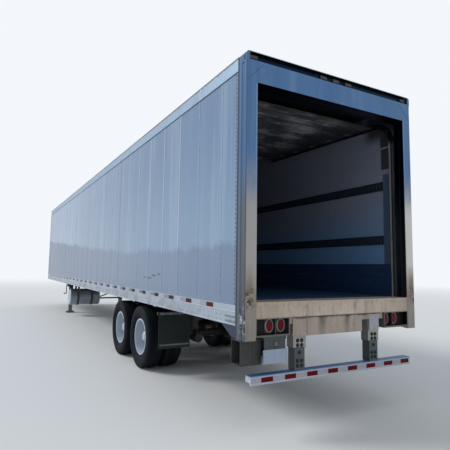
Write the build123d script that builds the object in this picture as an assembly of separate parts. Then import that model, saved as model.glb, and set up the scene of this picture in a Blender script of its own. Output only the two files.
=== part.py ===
from build123d import *
from math import atan2, cos, degrees, radians, sin, sqrt
import os

# A 53 foot insulated semi trailer with a roll-up rear door, parked on its landing legs.
# Millimetres. X runs forward to the kingpin, Y to the road side, Z up from the ground.
# Lengths along the trailer are given from its rear face, and at() moves them to the middle.

# Body shell
body_length = 16154
body_width = 2591
body_top = 4022
roof_drop = 19
roof_thickness = 74
roof_lap = 80
rail_thickness = 7
rail_bead = 4
bead_height = 10
bead_slope = 4
bead_rise = 136
wall_thickness = 54.25
skin_lap = 1.5
seam_pitch = 622
seam_first = 555
seam_width = 42
top_rail_height = 172
floor_top = 1342
floor_thickness = 90
ledge = 10
scuff_thickness = 8
scuff_height = 430
threshold = 262
bottom_rail_drop = 165
bottom_rail_rise = 48
bottom_flange = 62
flange_thickness = 10
crossmember_height = 102
crossmember_flange = 57
crossmember_steel = 6
crossmember_pitch = 305
crossmember_first = 500

# Front frame and its coupling box
front_depth = 120
nose_radius = 76
nose_post = 100
front_wall_inset = 24
coupling_half = 260
coupling_height = 190
coupling_rise = 43
coupling_depth = 72
coupling_radius = 34
coupling_plate = 6
coupling_margin = 20
socket_radius = 40

# Rear frame
frame_depth = 183
post_width = 140
post_drop = 386
post_lip = 64
post_fold = 44
post_groove = 5
header_height = 339
strip_channel = 118
strip_drop = 7
strip_height = 89
strip_depth = 45
strip_inset = 37
corner_radius = 34
brace_width = 99
brace_depth = 60
header_shell = 8
sill_height = 167
lamp_box_inner = 726
lamp_box_wall = 8
lamp_box_height = 190
lamp_box_depth = 120
lamp_box_lip = 18
lamp_pocket = 67
lamp_bay_place = 889
lamp_bay_setback = 26
lamp_ring = (54, 69)
lamp_ring_depth = 12
lamp_lens = (39, 59)
lamp_lens_depth = 10
lamp_lens_edge = 6
lamp_places = (806, 955)
lamp_drop = 85
tie_height = 75
tie_setback = 22
panel_left = 675
panel_right = 350
panel_height = 208
panel_setback = 10
panel_notches = (269, -120)
notch_width = 120
notch_height = 26
notch_depth = 6
gusset_reach = 465
gusset_steel = 12

# Rear guard
guard_low = 508
guard_height = 91
guard_rear = 24
guard_depth = 100
guard_half = 1199
guard_notch = 25
guard_notch_length = 60
guard_face = 20
guard_post_place = 566
guard_post_width = 172
guard_post_depth = 114
guard_post_steel = 8
guard_post_step = 18
guard_post_setback = 11
guard_step_height = 840

# Small rear pieces
plate_half = 152
plate_height = 143
plate_thickness = 5
plate_place = 915
plate_drop = 130
plate_margin = 18
plate_lamp_radius = 26
plate_lamp_rise = 53
bracket_steel = 12
box_rear = 74
box_depth = 186
box_width = 255
box_height = 258
box_steel = 8
box_top_steel = 14

# Marker lamps
marker_length = 100
marker_height = 36
marker_depth = 20
header_markers = (-1192, -200, 0, 200, 1192)
side_marker_height = 34
side_marker_inset = 160

# Door gear
track_gap = 16
track_width = 60
track_depth = 46
track_wall = 3
track_radius = 300
track_drop = 28
track_rise = 62
track_reach = 3103
door_panels = 6
door_panel_length = 396
door_panel_gap = 14
door_thickness = 28
door_rear = 560
door_rib = 14
door_wave = 12
door_wave_depth = 5
hinge_thickness = 6
roller_place = 40
roller_pin = 8
roller_width = 18
shaft_place = 300
shaft_drop = 71
shaft_radius = 13
cable_drum_radius = 50
cable_drum_width = 60
door_spring_radius = 36
spring_start = 140
spring_stop = 290
shaft_bracket = 40
shaft_bracket_steel = 6
cargo_track_rows = (763, 1523)
cargo_track_width = 124
cargo_track_thickness = 12
cargo_track_gap = 3
track_guard_rear = 296
track_guard_width = 109
track_guard_top = 3030

# Sliding tandem
tandem_place = 4032.5
axle_spacing = 1245
tyre_radius = 510
tyre_width = 280
running_gap = 0.3
slide_gap = 5
slider_place = 540
slider_width = 96
slider_height = 130
slider_reach = 1390
slide_rail_depth = 150
slide_rail_steel = 8
slide_rail_flange = 48
slide_rail_rear = 480
slide_rail_front = 6700
pin_hole_radius = 19
pin_hole_pitch = 152
pin_hole_count = 36
hanger_wall = 8
hanger_low = 588
hanger_top_half = 120
hanger_waist_half = 56
hanger_foot_half = 44
hanger_foot_height = 60
hanger_inset = 40
rocker_half_length = 120
rocker_height = 80
rocker_clear = 6
flap_arm = 44
flap_arm_drop = 15
spring_width = 76
spring_rise = 92
spring_thickness = 48
spring_end = 14
seat_height = 80
seat_half = 90
seat_margin = 24
clamp_half = 74
clamp_plate = 16
clamp_gap = 8
clamp_bolt_place = 62
clamp_bolt_radius = 9
clamp_bolt_rise = 44
rod_radius = 16
rod_pin_rise = 34
bush_radius = 30
bush_half = 26
pin_radius = 14
seat_pin_reach = 132
seat_pin_rise = 44
seat_ear = 9
cross_box = 100
axle_radius = 63.5
axle_half = 690
spindle_radius = 45
spindle_end = 1180
brake_plate = 190
brake_plate_face = 682
brake_plate_steel = 10
cam_radius = 19
cam_setback = 110
cam_rise = 20
chamber_radius = 82
chamber_length = 230
chamber_setback = 380
chamber_place = 340
chamber_drop = 25
push_rod_radius = 10
chamber_bracket = 12
air_tank_radius = 120
air_tank_inset = 60
air_tank_edge = 30
air_tank_drop = 40
air_tank_setback = 320
air_strap_place = 270
air_strap_width = 40
flap_inner = 690
flap_outer = 1220
flap_height = 560
flap_thickness = 8

# Dual wheels
bead_radius = 284.6
dual_centre = 990
dual_spacing = 330
rim_width = 210
rim_radius = 298
rim_wall = 11
disc_radius = 172
disc_thickness = 12
hand_hole_radius = 32
hand_hole_circle = 224
hand_holes = 5
hub_radius = 100
hub_cap_radius = 78
drum_radius = 220
drum_wall = 14

# Landing legs, tank and coupler, placed from the front
leg_setback = 3554
leg_inset = 395.5
leg_half = 64
leg_wall = 7
leg_low = 430
wing_reach = 60
wing_height = 220
wing_steel = 10
ram_high = 1000
foot_half = 125
foot_rise = 30
foot_steel = 12
shaft_low = 1010
cross_shaft_radius = 17
crossbar_low = 490
crossbar_size = 50
brace_size = 36
brace_drop = 200
gearbox_width = 56
gearbox_half = 90
crank_reach = 34
crank_length = 330
crank_radius = 14
grip_length = 86
grip_wall = 5
tank_setback = 4504
tank_height = 620
tank_radius = 270
tank_inset = 195.5
tank_length = 970
tank_rim = 22
filler_radius = 40
filler_height = 70
filler_seat = 30
filler_place = 150
filler_inset = 90
strap_width = 64
strap_steel = 8
strap_places = (848, 404)
kingpin_setback = 914
kingpin_radius = 25.4
kingpin_shoulder = 35
kingpin_neck = 32
kingpin_flange = 17
coupler_thickness = 12
coupler_half = 1000
coupler_length = 1734

os.makedirs("parts", exist_ok=True)

# Planes and heights that several pieces share
half_length = body_length / 2
half_width = body_width / 2
rail_face = half_width - rail_bead
rail_back = rail_face - rail_thickness
skin_plane = half_width - rail_thickness - skin_lap
liner_plane = rail_back - wall_thickness
roof_top = body_top - roof_drop
roof_low = roof_top - roof_thickness
top_rail_high = roof_top + flange_thickness
top_rail_low = top_rail_high - top_rail_height
floor_low = floor_top - floor_thickness
crossmember_low = floor_low - crossmember_height
bottom_rail_low = floor_low - bottom_rail_drop
bottom_rail_high = floor_low + bottom_rail_rise
front_wall_face = body_length - front_depth
post_inner = half_width - post_width
post_low = floor_top - post_drop
header_low = body_top - header_height
channel_low = body_top - strip_channel
sill_low = floor_top - sill_height
nodes = {}


def at(x):
    """A distance from the rear face as an X coordinate."""
    return x - half_length


def block(x0, x1, y0, y1, z0, z1):
    """A box between two corners, with X from the rear face."""
    centre = Pos(at((x0 + x1) / 2), (y0 + y1) / 2, (z0 + z1) / 2)
    return centre * Box(abs(x1 - x0), abs(y1 - y0), abs(z1 - z0))


def rail(section, x0, x1):
    """A section of (y, z) points, drawn out along the trailer."""
    face = make_face(Polyline(*section, close=True))
    return extrude(Plane.YZ.offset(at(x0)) * face, amount=x1 - x0)


def plate(outline, y0, y1):
    """An outline of (x, z) points with X from the rear face, drawn out across the trailer."""
    near, far = sorted((y0, y1))
    face = make_face(Polyline(*[(at(x), z) for x, z in outline], close=True))
    return extrude(Plane.XZ.offset(-far) * face, amount=far - near)


def column(outline, z0, z1):
    """An outline of (x, y) points with X from the rear face, drawn upward."""
    face = make_face(Polyline(*[(at(x), y) for x, y in outline], close=True))
    return extrude(Plane.XY.offset(z0) * face, amount=z1 - z0)


def bar_across(x, z, radius, y0, y1):
    """A round bar across the trailer."""
    return Pos(at(x), (y0 + y1) / 2, z) * Rot(90, 0, 0) * Cylinder(radius, abs(y1 - y0))


def bar_along(x0, x1, y, z, radius):
    """A round bar along the trailer, with X from the rear face."""
    return Pos(at((x0 + x1) / 2), y, z) * Rot(0, 90, 0) * Cylinder(radius, abs(x1 - x0))


def strut(start, end, section):
    """A bar of the given section between two points, with X from the rear face."""
    foot = Vector(at(start[0]), start[1], start[2])
    head = Vector(at(end[0]), end[1], end[2])
    return extrude(Plane(origin=foot, z_dir=head - foot) * section, amount=(head - foot).length)


def both_sides(name, shape):
    """The road-side piece and its mirror image, as two nodes."""
    nodes[name + "_left"] = shape
    nodes[name + "_right"] = mirror(shape, about=Plane.XZ)


def pair(shape):
    """The road-side piece and its mirror image, as two solids of one node."""
    return [shape, mirror(shape, about=Plane.XZ)]


# Floor, threshold to front wall, between the scuff bands
floor_half = liner_plane - scuff_thickness
nodes["floor"] = block(threshold, front_wall_face, -floor_half, floor_half, floor_low, floor_top)

# I-beams across below the floor
beam_half = crossmember_flange / 2
web_half = crossmember_steel / 4
beams = []
beam_count = int((front_wall_face - crossmember_first) / crossmember_pitch)
for index in range(beam_count):
    middle = crossmember_first + index * crossmember_pitch
    foot = crossmember_low + crossmember_steel
    head = floor_low - crossmember_steel
    half_beam = [
        (beam_half, crossmember_low), (beam_half, foot), (web_half, foot),
        (web_half, head), (beam_half, head), (beam_half, floor_low),
    ]
    outline = [(middle + x, z) for x, z in half_beam]
    outline += [(middle - x, z) for x, z in reversed(half_beam)]
    beams.append(plate(outline, -rail_back, rail_back))
nodes["crossmembers"] = Compound(children=beams)

# Bottom rails: a web with two beads outside, a foot flange, and a ledge for the wall
lower_bead = bottom_rail_low
upper_bead = bottom_rail_low + bead_rise
bottom_section = [
    (rail_back - bottom_flange, bottom_rail_low),
    (rail_face, bottom_rail_low),
    (half_width, lower_bead + bead_slope),
    (half_width, lower_bead + bead_slope + bead_height),
    (rail_face, lower_bead + 2 * bead_slope + bead_height),
    (rail_face, upper_bead),
    (half_width, upper_bead + bead_slope),
    (half_width, upper_bead + 2 * bead_slope),
    (rail_face, upper_bead + 3 * bead_slope),
    (rail_face, bottom_rail_high),
    (rail_back, bottom_rail_high),
    (rail_back, floor_low + ledge),
    (liner_plane, floor_low + ledge),
    (liner_plane, floor_low),
    (rail_back, floor_low),
    (rail_back, bottom_rail_low + flange_thickness),
    (rail_back - bottom_flange, bottom_rail_low + flange_thickness),
]
both_sides("bottom_rail", rail(bottom_section, frame_depth, front_wall_face))

# Top rails: a web with a bead at its foot, and a flange over the roof's edge
top_section = [
    (rail_back, top_rail_low),
    (rail_face, top_rail_low),
    (half_width, top_rail_low + bead_slope),
    (half_width, top_rail_low + bead_slope + bead_height),
    (rail_face, top_rail_low + 2 * bead_slope + bead_height),
    (rail_face, top_rail_high),
    (rail_back - roof_lap, top_rail_high),
    (rail_back - roof_lap, roof_top),
    (rail_back, roof_top),
]
both_sides("top_rail", rail(top_section, frame_depth, front_wall_face))

# Side walls: the whole wall, with its outer skin lapped at each post
wall_section = [
    (liner_plane, floor_low + ledge),
    (rail_back, floor_low + ledge),
    (rail_back, bottom_rail_high),
    (skin_plane, bottom_rail_high),
    (skin_plane, top_rail_low),
    (rail_back, top_rail_low),
    (rail_back, roof_low),
    (liner_plane, roof_low),
]
wall = rail(wall_section, frame_depth, front_wall_face)
seam_count = int((front_wall_face - seam_width - seam_first) / seam_pitch) + 1
laps = []
for index in range(seam_count):
    seam = seam_first + index * seam_pitch
    laps.append(block(
        seam - seam_width / 2, seam + seam_width / 2,
        skin_plane - skin_lap, skin_plane + skin_lap, bottom_rail_high, top_rail_low,
    ))
wall += laps
both_sides("side_wall", wall)

# Roof
nodes["roof"] = block(frame_depth, front_wall_face, -rail_back, rail_back, roof_low, roof_top)

# Front frame: corner posts with round noses, a header and a sill in one ring
frame_plan = Rectangle(front_depth, body_width)
nose_corners = frame_plan.vertices().filter_by(lambda v: v.X > 0)
frame_plan = fillet(nose_corners, nose_radius)
front_half = half_width - nose_post
ring_middle = at(body_length - front_depth / 2)
ring_height = top_rail_high - bottom_rail_low
front_frame = extrude(Pos(ring_middle, 0, bottom_rail_low) * frame_plan, amount=ring_height)
front_frame -= block(front_wall_face, body_length, -front_half, front_half, floor_top, top_rail_low)
coupling_low = bottom_rail_low + coupling_rise
coupling_high = coupling_low + coupling_height
coupling_face = body_length - coupling_depth
front_frame -= block(
    coupling_face, body_length, -coupling_half, coupling_half, coupling_low, coupling_high
)
nodes["front_frame"] = front_frame
nodes["front_wall"] = block(
    front_wall_face, body_length - front_wall_inset, -front_half, front_half, floor_top, top_rail_low
)

# Air couplings and the electric socket on their back plate
coupling_seat = coupling_face + coupling_plate
coupling_end = coupling_face + coupling_depth - coupling_margin
coupling_middle = (coupling_low + coupling_high) / 2
connectors = block(
    coupling_face, coupling_seat, coupling_margin - coupling_half, coupling_half - coupling_margin,
    coupling_low + coupling_margin / 2, coupling_high - coupling_margin / 2,
)
for place in (-coupling_half * 0.65, coupling_half * 0.65):
    connectors += bar_along(coupling_seat, coupling_end, place, coupling_middle, coupling_radius)
    connectors += block(
        coupling_seat, coupling_end - 2 * coupling_plate, place - coupling_margin,
        place + 3 * coupling_margin, coupling_middle - coupling_radius * 0.6, coupling_middle,
    )
connectors += bar_along(coupling_seat, coupling_end, 0, coupling_middle, socket_radius)
nodes["front_connectors"] = connectors

# Rear posts: folded steel with a groove down the side, a corner brace and a foot gusset
post_plan = [
    (0, post_inner),
    (0, half_width - 8),
    (8, half_width),
    (40, half_width),
    (40 + post_groove, half_width - post_groove),
    (100 - post_groove, half_width - post_groove),
    (100, half_width),
    (frame_depth, half_width),
    (frame_depth, post_inner + post_fold),
    (post_lip, post_inner + post_fold),
    (post_lip, post_inner),
]
post = column(post_plan, post_low, channel_low)
brace_run = channel_low - header_low
brace = [
    (post_inner, header_low),
    (post_inner, channel_low),
    (post_inner - brace_run, channel_low),
]
post += rail(brace, 0, brace_depth)
seam_start = (half_width, header_low + brace_width * sqrt(2) - post_width)
seam_end = (half_width - (channel_low - seam_start[1]), channel_low)
seam_run = Vector(seam_end[0] - seam_start[0], seam_end[1] - seam_start[1])
groove_middle = (at(0), (seam_start[0] + seam_end[0]) / 2, (seam_start[1] + seam_end[1]) / 2)
groove_turn = degrees(atan2(seam_run.Y, seam_run.X))
post -= Pos(*groove_middle) * Rot(groove_turn, 0, 0) * Box(4, seam_run.length - 30, 5)
gusset = [
    (60, post_low), (80, post_low + 7), (frame_depth + 70, post_low + 11),
    (gusset_reach, bottom_rail_low - 11), (gusset_reach, bottom_rail_low), (60, bottom_rail_low),
]
post += plate(gusset, half_width - gusset_steel, half_width)
both_sides("rear_post", post)

# Rear header: a box between the braces, below the channel that holds the lamps
header_section = [
    (-post_inner, header_low),
    (post_inner, header_low),
    (post_inner - brace_run, channel_low),
    (brace_run - post_inner, channel_low),
]
header = rail(header_section, 0, brace_depth)
header += block(brace_depth, frame_depth, -post_inner, post_inner, header_low, channel_low)
header -= block(
    brace_depth - header_shell, frame_depth + 1,
    brace_run - post_inner + header_shell, post_inner - brace_run - header_shell,
    header_low + header_shell, channel_low - header_shell,
)
channel_face = Pos(0, (channel_low + body_top) / 2) * Rectangle(body_width, strip_channel)
top_corners = channel_face.vertices().filter_by(lambda v: v.Y > channel_low + 1)
channel_face = fillet(top_corners, corner_radius)
header += extrude(Plane.YZ.offset(at(0)) * channel_face, amount=frame_depth)
strip_half = half_width - strip_inset
strip_high = body_top - strip_drop
strip_low = strip_high - strip_height
header -= block(-1, strip_depth, -strip_half, strip_half, strip_low, strip_high)
nodes["rear_header"] = header

# Rear sill: threshold plate, two lamp boxes with a bay for each lamp, tie channel and centre panel
sill = block(0, frame_depth, -post_inner, post_inner, sill_low, floor_top)
sill += block(frame_depth, threshold, -liner_plane, liner_plane, floor_low, floor_top)
lamp_box_low = sill_low - lamp_box_height
for turn in (1, -1):
    inner, outer = sorted((turn * lamp_box_inner, turn * post_inner))
    lamp_box = block(0, lamp_box_depth, inner, outer, lamp_box_low, sill_low)
    lamp_box -= block(
        -1, lamp_pocket, inner + lamp_box_wall, outer - lamp_box_wall,
        lamp_box_low + lamp_box_lip, sill_low - lamp_box_wall,
    )
    lamp_box += block(
        lamp_bay_setback, lamp_pocket, turn * lamp_bay_place, turn * (lamp_bay_place + lamp_box_wall),
        lamp_box_low, sill_low,
    )
    sill += lamp_box
tie_low = sill_low - tie_height
sill += block(tie_setback, frame_depth, -lamp_box_inner, lamp_box_inner, tie_low, sill_low)
sill += block(panel_setback, tie_setback, -panel_right, panel_left, sill_low - panel_height, sill_low)
for notch in panel_notches:
    sill -= block(
        panel_setback - 1, panel_setback + notch_depth, notch - notch_width / 2, notch + notch_width / 2,
        sill_low - notch_height, sill_low,
    )
nodes["rear_sill"] = sill

# Upright oval tail lamps: a domed lens in a ring, seated on the back of each bay
ring_face = lamp_pocket - lamp_ring_depth
lens_face = ring_face - lamp_lens_depth
lamps = []
for turn in (1, -1):
    for place in lamp_places:
        middle = Pos(turn * place, sill_low - lamp_drop)
        lamp_plane = Plane.YZ.offset(at(ring_face))
        lens_plane = Plane.YZ.offset(at(lens_face))
        lamp = extrude(lamp_plane * middle * Ellipse(*lamp_ring), amount=lamp_ring_depth)
        lens = extrude(lens_plane * middle * Ellipse(*lamp_lens), amount=lamp_lens_depth)
        rim_edges = lens.faces().sort_by(Axis.X)[0].edges()
        lamps.append(lamp + fillet(rim_edges, lamp_lens_edge))
nodes["tail_lamps"] = Compound(children=lamps)

# Small marker lamps: header strip and side rails
markers = []
strip_middle = (strip_low + strip_high) / 2
marker_half = marker_length / 2
for place in header_markers:
    markers.append(block(
        strip_depth - marker_depth, strip_depth, place - marker_half, place + marker_half,
        strip_middle - marker_height / 2, strip_middle + marker_height / 2,
    ))
marker_low = (bottom_rail_low + upper_bead) / 2
for place in (half_length, front_wall_face - side_marker_inset):
    markers += pair(block(
        place, place + marker_length, rail_face, half_width, marker_low, marker_low + side_marker_height
    ))
nodes["marker_lamps"] = Compound(children=markers)

# Rear guard: two stepped channel posts, open to the front, on a beam with notched ends
guard_high = guard_low + guard_height
post_face = guard_rear + guard_post_setback
post_front = post_face + guard_post_depth
wide = guard_post_width / 2
narrow = wide - guard_post_step
guard_outline = [
    (narrow, guard_high), (narrow, guard_step_height), (wide, guard_step_height), (wide, tie_low),
]
guard_section = [(guard_post_place + y, z) for y, z in guard_outline]
guard_section += [(guard_post_place - y, z) for y, z in reversed(guard_outline)]
guard_post = rail(guard_section, post_face, post_front)
guard_post -= block(
    post_face + guard_post_steel, post_front + 1,
    guard_post_place - narrow + guard_post_steel, guard_post_place + narrow - guard_post_steel,
    guard_high - 1, tie_low + 1,
)
nodes["guard_posts"] = Compound(children=pair(guard_post))
beam = block(guard_rear, guard_rear + guard_depth, -guard_half, guard_half, guard_low, guard_high)
for turn in (1, -1):
    beam -= block(
        guard_rear + guard_face, guard_rear + guard_depth + 1,
        turn * (guard_half - guard_notch_length), turn * (guard_half + 1),
        guard_low - 1, guard_low + guard_notch,
    )
nodes["guard_beam"] = beam

# Blank registration plate on its bracket, below the road-side lamp box
plate_high = lamp_box_low - plate_drop
bracket_half = plate_half - plate_margin
bracket = block(
    plate_thickness, plate_thickness + bracket_steel,
    plate_place - bracket_half, plate_place + bracket_half, plate_high - plate_margin, lamp_box_low,
)
bracket += block(
    0, plate_thickness, plate_place - plate_half, plate_place + plate_half,
    plate_high - plate_height, plate_high,
)
bracket += bar_along(
    0, plate_thickness, plate_place - bracket_steel, plate_high + plate_lamp_rise, plate_lamp_radius
)
nodes["plate_bracket"] = bracket

# Open box below the road-side post
box_inner = half_width - box_width
step_box = block(box_rear, box_rear + box_depth, box_inner, half_width, post_low - box_height, post_low)
step_box -= block(
    box_rear + box_steel, box_rear + box_depth - box_steel, box_inner - 1, half_width + 1,
    post_low - box_height + box_steel, post_low - box_top_steel,
)
nodes["step_box"] = step_box

# Door tracks: a channel swept up the post, round the bend and along below the roof
half_track = track_width / 2
track_start = frame_depth + track_gap + half_track
track_level = header_low + track_drop + half_track
rise_start = track_start + track_radius
rise_rate = track_rise / (track_reach - rise_start)


def track_height(x):
    """The height of the track's centre line above its level stretch's foot."""
    return track_level + rise_rate * (x - rise_start)


track_path = FilletPolyline(
    (at(track_start), liner_plane, floor_top),
    (at(track_start), liner_plane, track_height(track_start)),
    (at(track_reach), liner_plane, track_height(track_reach)),
    radius=track_radius,
)
lip = half_track - track_wall
track_section = [
    (-half_track, 0), (half_track, 0), (half_track, -track_depth), (lip, -track_depth),
    (lip, -track_wall), (-lip, -track_wall), (-lip, -track_depth), (-half_track, -track_depth),
]
track_plane = Plane(origin=(at(track_start), liner_plane, floor_top), x_dir=(1, 0, 0), z_dir=(0, 0, 1))
track_face = track_plane * make_face(Polyline(*track_section, close=True))
both_sides("door_track", sweep(track_face, path=track_path))

# Stowed door: ribbed panels on hinge strips, with rollers in the tracks
panel_half = liner_plane - track_depth - 6
door_tilt = -degrees(atan2(rise_rate, 1))
roller_radius = lip - running_gap
panels = []
for index in range(door_panels):
    start = door_rear + index * (door_panel_length + door_panel_gap)
    low = -door_thickness / 2
    outline = [
        (0, low + door_wave_depth), (door_rib, low),
        (door_panel_length - door_rib, low), (door_panel_length, low + door_wave_depth),
    ]
    for wave in (0.75, 0.5, 0.25):
        middle = wave * door_panel_length
        dip = low + door_wave_depth
        outline[2:2] = [(middle - door_wave, low), (middle, dip), (middle + door_wave, low)]
    outline += [(door_panel_length, -low), (0, -low)]
    panel_face = make_face(Polyline(*outline, close=True))
    panel = extrude(Plane.XZ.offset(-panel_half) * panel_face, amount=2 * panel_half)
    if index + 1 < door_panels:
        hinge = Box(door_panel_gap + 2, 2 * panel_half, hinge_thickness)
        panel += Pos(door_panel_length + door_panel_gap / 2, 0, 0) * hinge
    for turn in (1, -1):
        reach = liner_plane - track_wall - 4
        pin_middle = (panel_half + reach - 2) / 2
        pin = Rot(90, 0, 0) * Cylinder(roller_pin, reach - panel_half + 2)
        roller = Rot(90, 0, 0) * Cylinder(roller_radius, roller_width)
        panel += Pos(roller_place, turn * pin_middle, 0) * pin
        panel += Pos(roller_place, turn * (reach - roller_width / 2), 0) * roller
    panels.append(Pos(at(start), 0, track_height(start)) * Rot(0, door_tilt, 0) * panel)
door = panels[0]
for panel in panels[1:]:
    door += panel
nodes["overhead_door"] = door

# Balancer: a spring shaft behind the header with drums, springs and brackets
shaft_height = roof_low - shaft_drop
shaft_half = liner_plane - 40
balancer = bar_across(shaft_place, shaft_height, shaft_radius, -shaft_half, shaft_half)
drum_end = shaft_half - 20
for turn in (1, -1):
    balancer += bar_across(
        shaft_place, shaft_height, cable_drum_radius, turn * (drum_end - cable_drum_width), turn * drum_end
    )
    balancer += bar_across(
        shaft_place, shaft_height, door_spring_radius,
        turn * spring_start, turn * (shaft_half - spring_stop),
    )
    balancer += block(
        frame_depth, shaft_place + cable_drum_radius,
        turn * (shaft_half - shaft_bracket_steel), turn * liner_plane,
        shaft_height - shaft_bracket, shaft_height + shaft_bracket,
    )
balancer += block(
    frame_depth, shaft_place + door_spring_radius, -shaft_bracket / 2, shaft_bracket / 2,
    shaft_height - shaft_bracket, channel_low + shaft_bracket / 2,
)
nodes["door_balancer"] = balancer

# Cargo tracks and scuff bands along both walls, and a guard strip up beside each door track
track_guard_front = track_guard_rear + track_guard_width
cargo_track_rear = track_guard_front + cargo_track_gap
cargo = []
for row in cargo_track_rows:
    middle = floor_top + row
    cargo += pair(block(
        cargo_track_rear, front_wall_face, liner_plane - cargo_track_thickness, liner_plane,
        middle - cargo_track_width / 2, middle + cargo_track_width / 2,
    ))
nodes["cargo_tracks"] = Compound(children=cargo)
scuff_band = block(
    threshold, front_wall_face, floor_half, liner_plane, floor_low, floor_top + scuff_height
)
scuff_band += block(
    track_guard_rear, track_guard_front, floor_half, liner_plane, floor_low, track_guard_top
)
nodes["scuff_bands"] = Compound(children=pair(scuff_band))

# Slide rails below the floor beams: a flange, a web with pin holes, and a foot
side_out = slider_place + slider_width / 2
side_in = slider_place - slider_width / 2
slide_top = crossmember_low - slide_rail_steel
slide_low = crossmember_low - slide_rail_depth
web_in = side_out + slide_gap
web_out = web_in + slide_rail_steel
slide_section = [
    (side_in, crossmember_low),
    (web_out, crossmember_low),
    (web_out, slide_low + slide_rail_steel),
    (web_out + slide_rail_flange, slide_low + slide_rail_steel),
    (web_out + slide_rail_flange, slide_low),
    (web_in, slide_low),
    (web_in, slide_top),
    (side_in, slide_top),
]
slide_rail = rail(slide_section, slide_rail_rear, slide_rail_front)
hole_height = (slide_top + slide_low) / 2
hole_start = (slide_rail_rear + slide_rail_front - (pin_hole_count - 1) * pin_hole_pitch) / 2
holes = []
for index in range(pin_hole_count):
    place = hole_start + index * pin_hole_pitch
    holes.append(bar_across(place, hole_height, pin_hole_radius, web_in - 2, web_out + 2))
slide_rail -= holes
nodes["slide_rails"] = Compound(children=pair(slide_rail))

# Coupler plate with a turned-up front edge, and the kingpin below it
coupler_low = crossmember_low - coupler_thickness
coupler_front = front_wall_face
coupler_rear = coupler_front - coupler_length
kingpin_place = body_length - kingpin_setback
coupler = block(
    coupler_rear, coupler_front, -coupler_half, coupler_half, coupler_low, crossmember_low
)
ramp_edges = coupler.edges().filter_by(Axis.Y).group_by(Axis.Z)[0]
coupler = chamfer(ramp_edges, coupler_thickness * 0.7)
# Sections of the kingpin from the plate down: radius, length
kingpin_sections = (
    (kingpin_radius + 11.1, kingpin_shoulder),
    (kingpin_radius, kingpin_neck),
    (kingpin_radius + 10.3, kingpin_flange),
)
level = coupler_low
for radius, length in kingpin_sections:
    coupler += Pos(at(kingpin_place), 0, level - length / 2) * Cylinder(radius, length)
    level -= length
nodes["coupler_plate"] = coupler

# Landing legs: outer tube between two wing plates, with a gearbox, and a crank on the road side
leg_place = body_length - leg_setback
leg_side = half_width - leg_inset
leg = block(
    leg_place - leg_half, leg_place + leg_half, leg_side - leg_half, leg_side + leg_half,
    leg_low, crossmember_low,
)
bore_half = leg_half - leg_wall
leg -= block(
    leg_place - bore_half, leg_place + bore_half, leg_side - bore_half, leg_side + bore_half,
    leg_low - 1, ram_high + gearbox_half,
)
wing_low = crossmember_low - wing_height
wing_outline = [
    (leg_side - leg_half - wing_reach, crossmember_low),
    (leg_side + leg_half + wing_reach, crossmember_low),
    (leg_side + leg_half, wing_low),
    (leg_side - leg_half, wing_low),
]
leg += rail(wing_outline, leg_place + leg_half, leg_place + leg_half + wing_steel)
leg += rail(wing_outline, leg_place - leg_half - wing_steel, leg_place - leg_half)
leg += block(
    leg_place - bore_half, leg_place + bore_half, leg_side + leg_half,
    leg_side + leg_half + gearbox_width, shaft_low - gearbox_half, shaft_low + gearbox_half,
)
gear_face = leg_side + leg_half + gearbox_width
crank_face = gear_face + crank_reach
grip_height = shaft_low - crank_length
crank_path = FilletPolyline(
    (at(leg_place), gear_face - 2, shaft_low),
    (at(leg_place), crank_face, shaft_low),
    (at(leg_place), crank_face, grip_height),
    (at(leg_place), crank_face + grip_length, grip_height),
    radius=1.7 * crank_radius,
)
crank = sweep(Plane(origin=crank_path @ 0, z_dir=crank_path % 0) * Circle(crank_radius), path=crank_path)
crank += bar_across(
    leg_place, grip_height, crank_radius + grip_wall,
    crank_face + 2 * crank_radius, crank_face + grip_length,
)
nodes["landing_leg_left"] = leg + crank
nodes["landing_leg_right"] = mirror(leg, about=Plane.XZ)

# Rams and feet: the ram seats in the tube, the foot is a dished shoe on a knuckle
ram_half = bore_half - running_gap
knuckle = foot_rise * 2
ram = block(
    leg_place - ram_half, leg_place + ram_half, leg_side - ram_half, leg_side + ram_half,
    knuckle, ram_high,
)
shoe = [
    (-foot_half, foot_rise), (foot_rise - foot_half, 0), (foot_half - foot_rise, 0),
    (foot_half, foot_rise), (foot_half, foot_rise + foot_steel), (foot_half - foot_rise - 4, foot_steel),
    (knuckle, foot_steel), (knuckle - 20, knuckle), (20 - knuckle, knuckle), (-knuckle, foot_steel),
    (foot_rise + 4 - foot_half, foot_steel), (-foot_half, foot_rise + foot_steel),
]
ram += plate([(leg_place + x, z) for x, z in shoe], leg_side - foot_half, leg_side + foot_half)
both_sides("leg_ram", ram)

# Bracing between the legs: cross shaft, crossbar and a V of two diagonals
leg_face = leg_side - leg_half
cross_shaft = bar_across(leg_place, shaft_low, cross_shaft_radius, -leg_face, leg_face)
bar_half = crossbar_size / 2
bracing = block(
    leg_place - bar_half, leg_place + bar_half, -leg_face, leg_face,
    crossbar_low - bar_half, crossbar_low + bar_half,
)
for turn in (1, -1):
    bracing += strut(
        (leg_place, 0, crossbar_low), (leg_place, turn * (leg_face + brace_size), shaft_low - brace_drop),
        Rectangle(brace_size, brace_size),
    )
leg_room = block(
    leg_place - crossbar_size, leg_place + crossbar_size, -leg_face, leg_face,
    crossbar_low - bar_half, crossmember_low,
)
nodes["leg_bracing"] = Compound(children=[cross_shaft, bracing & leg_room])

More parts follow.
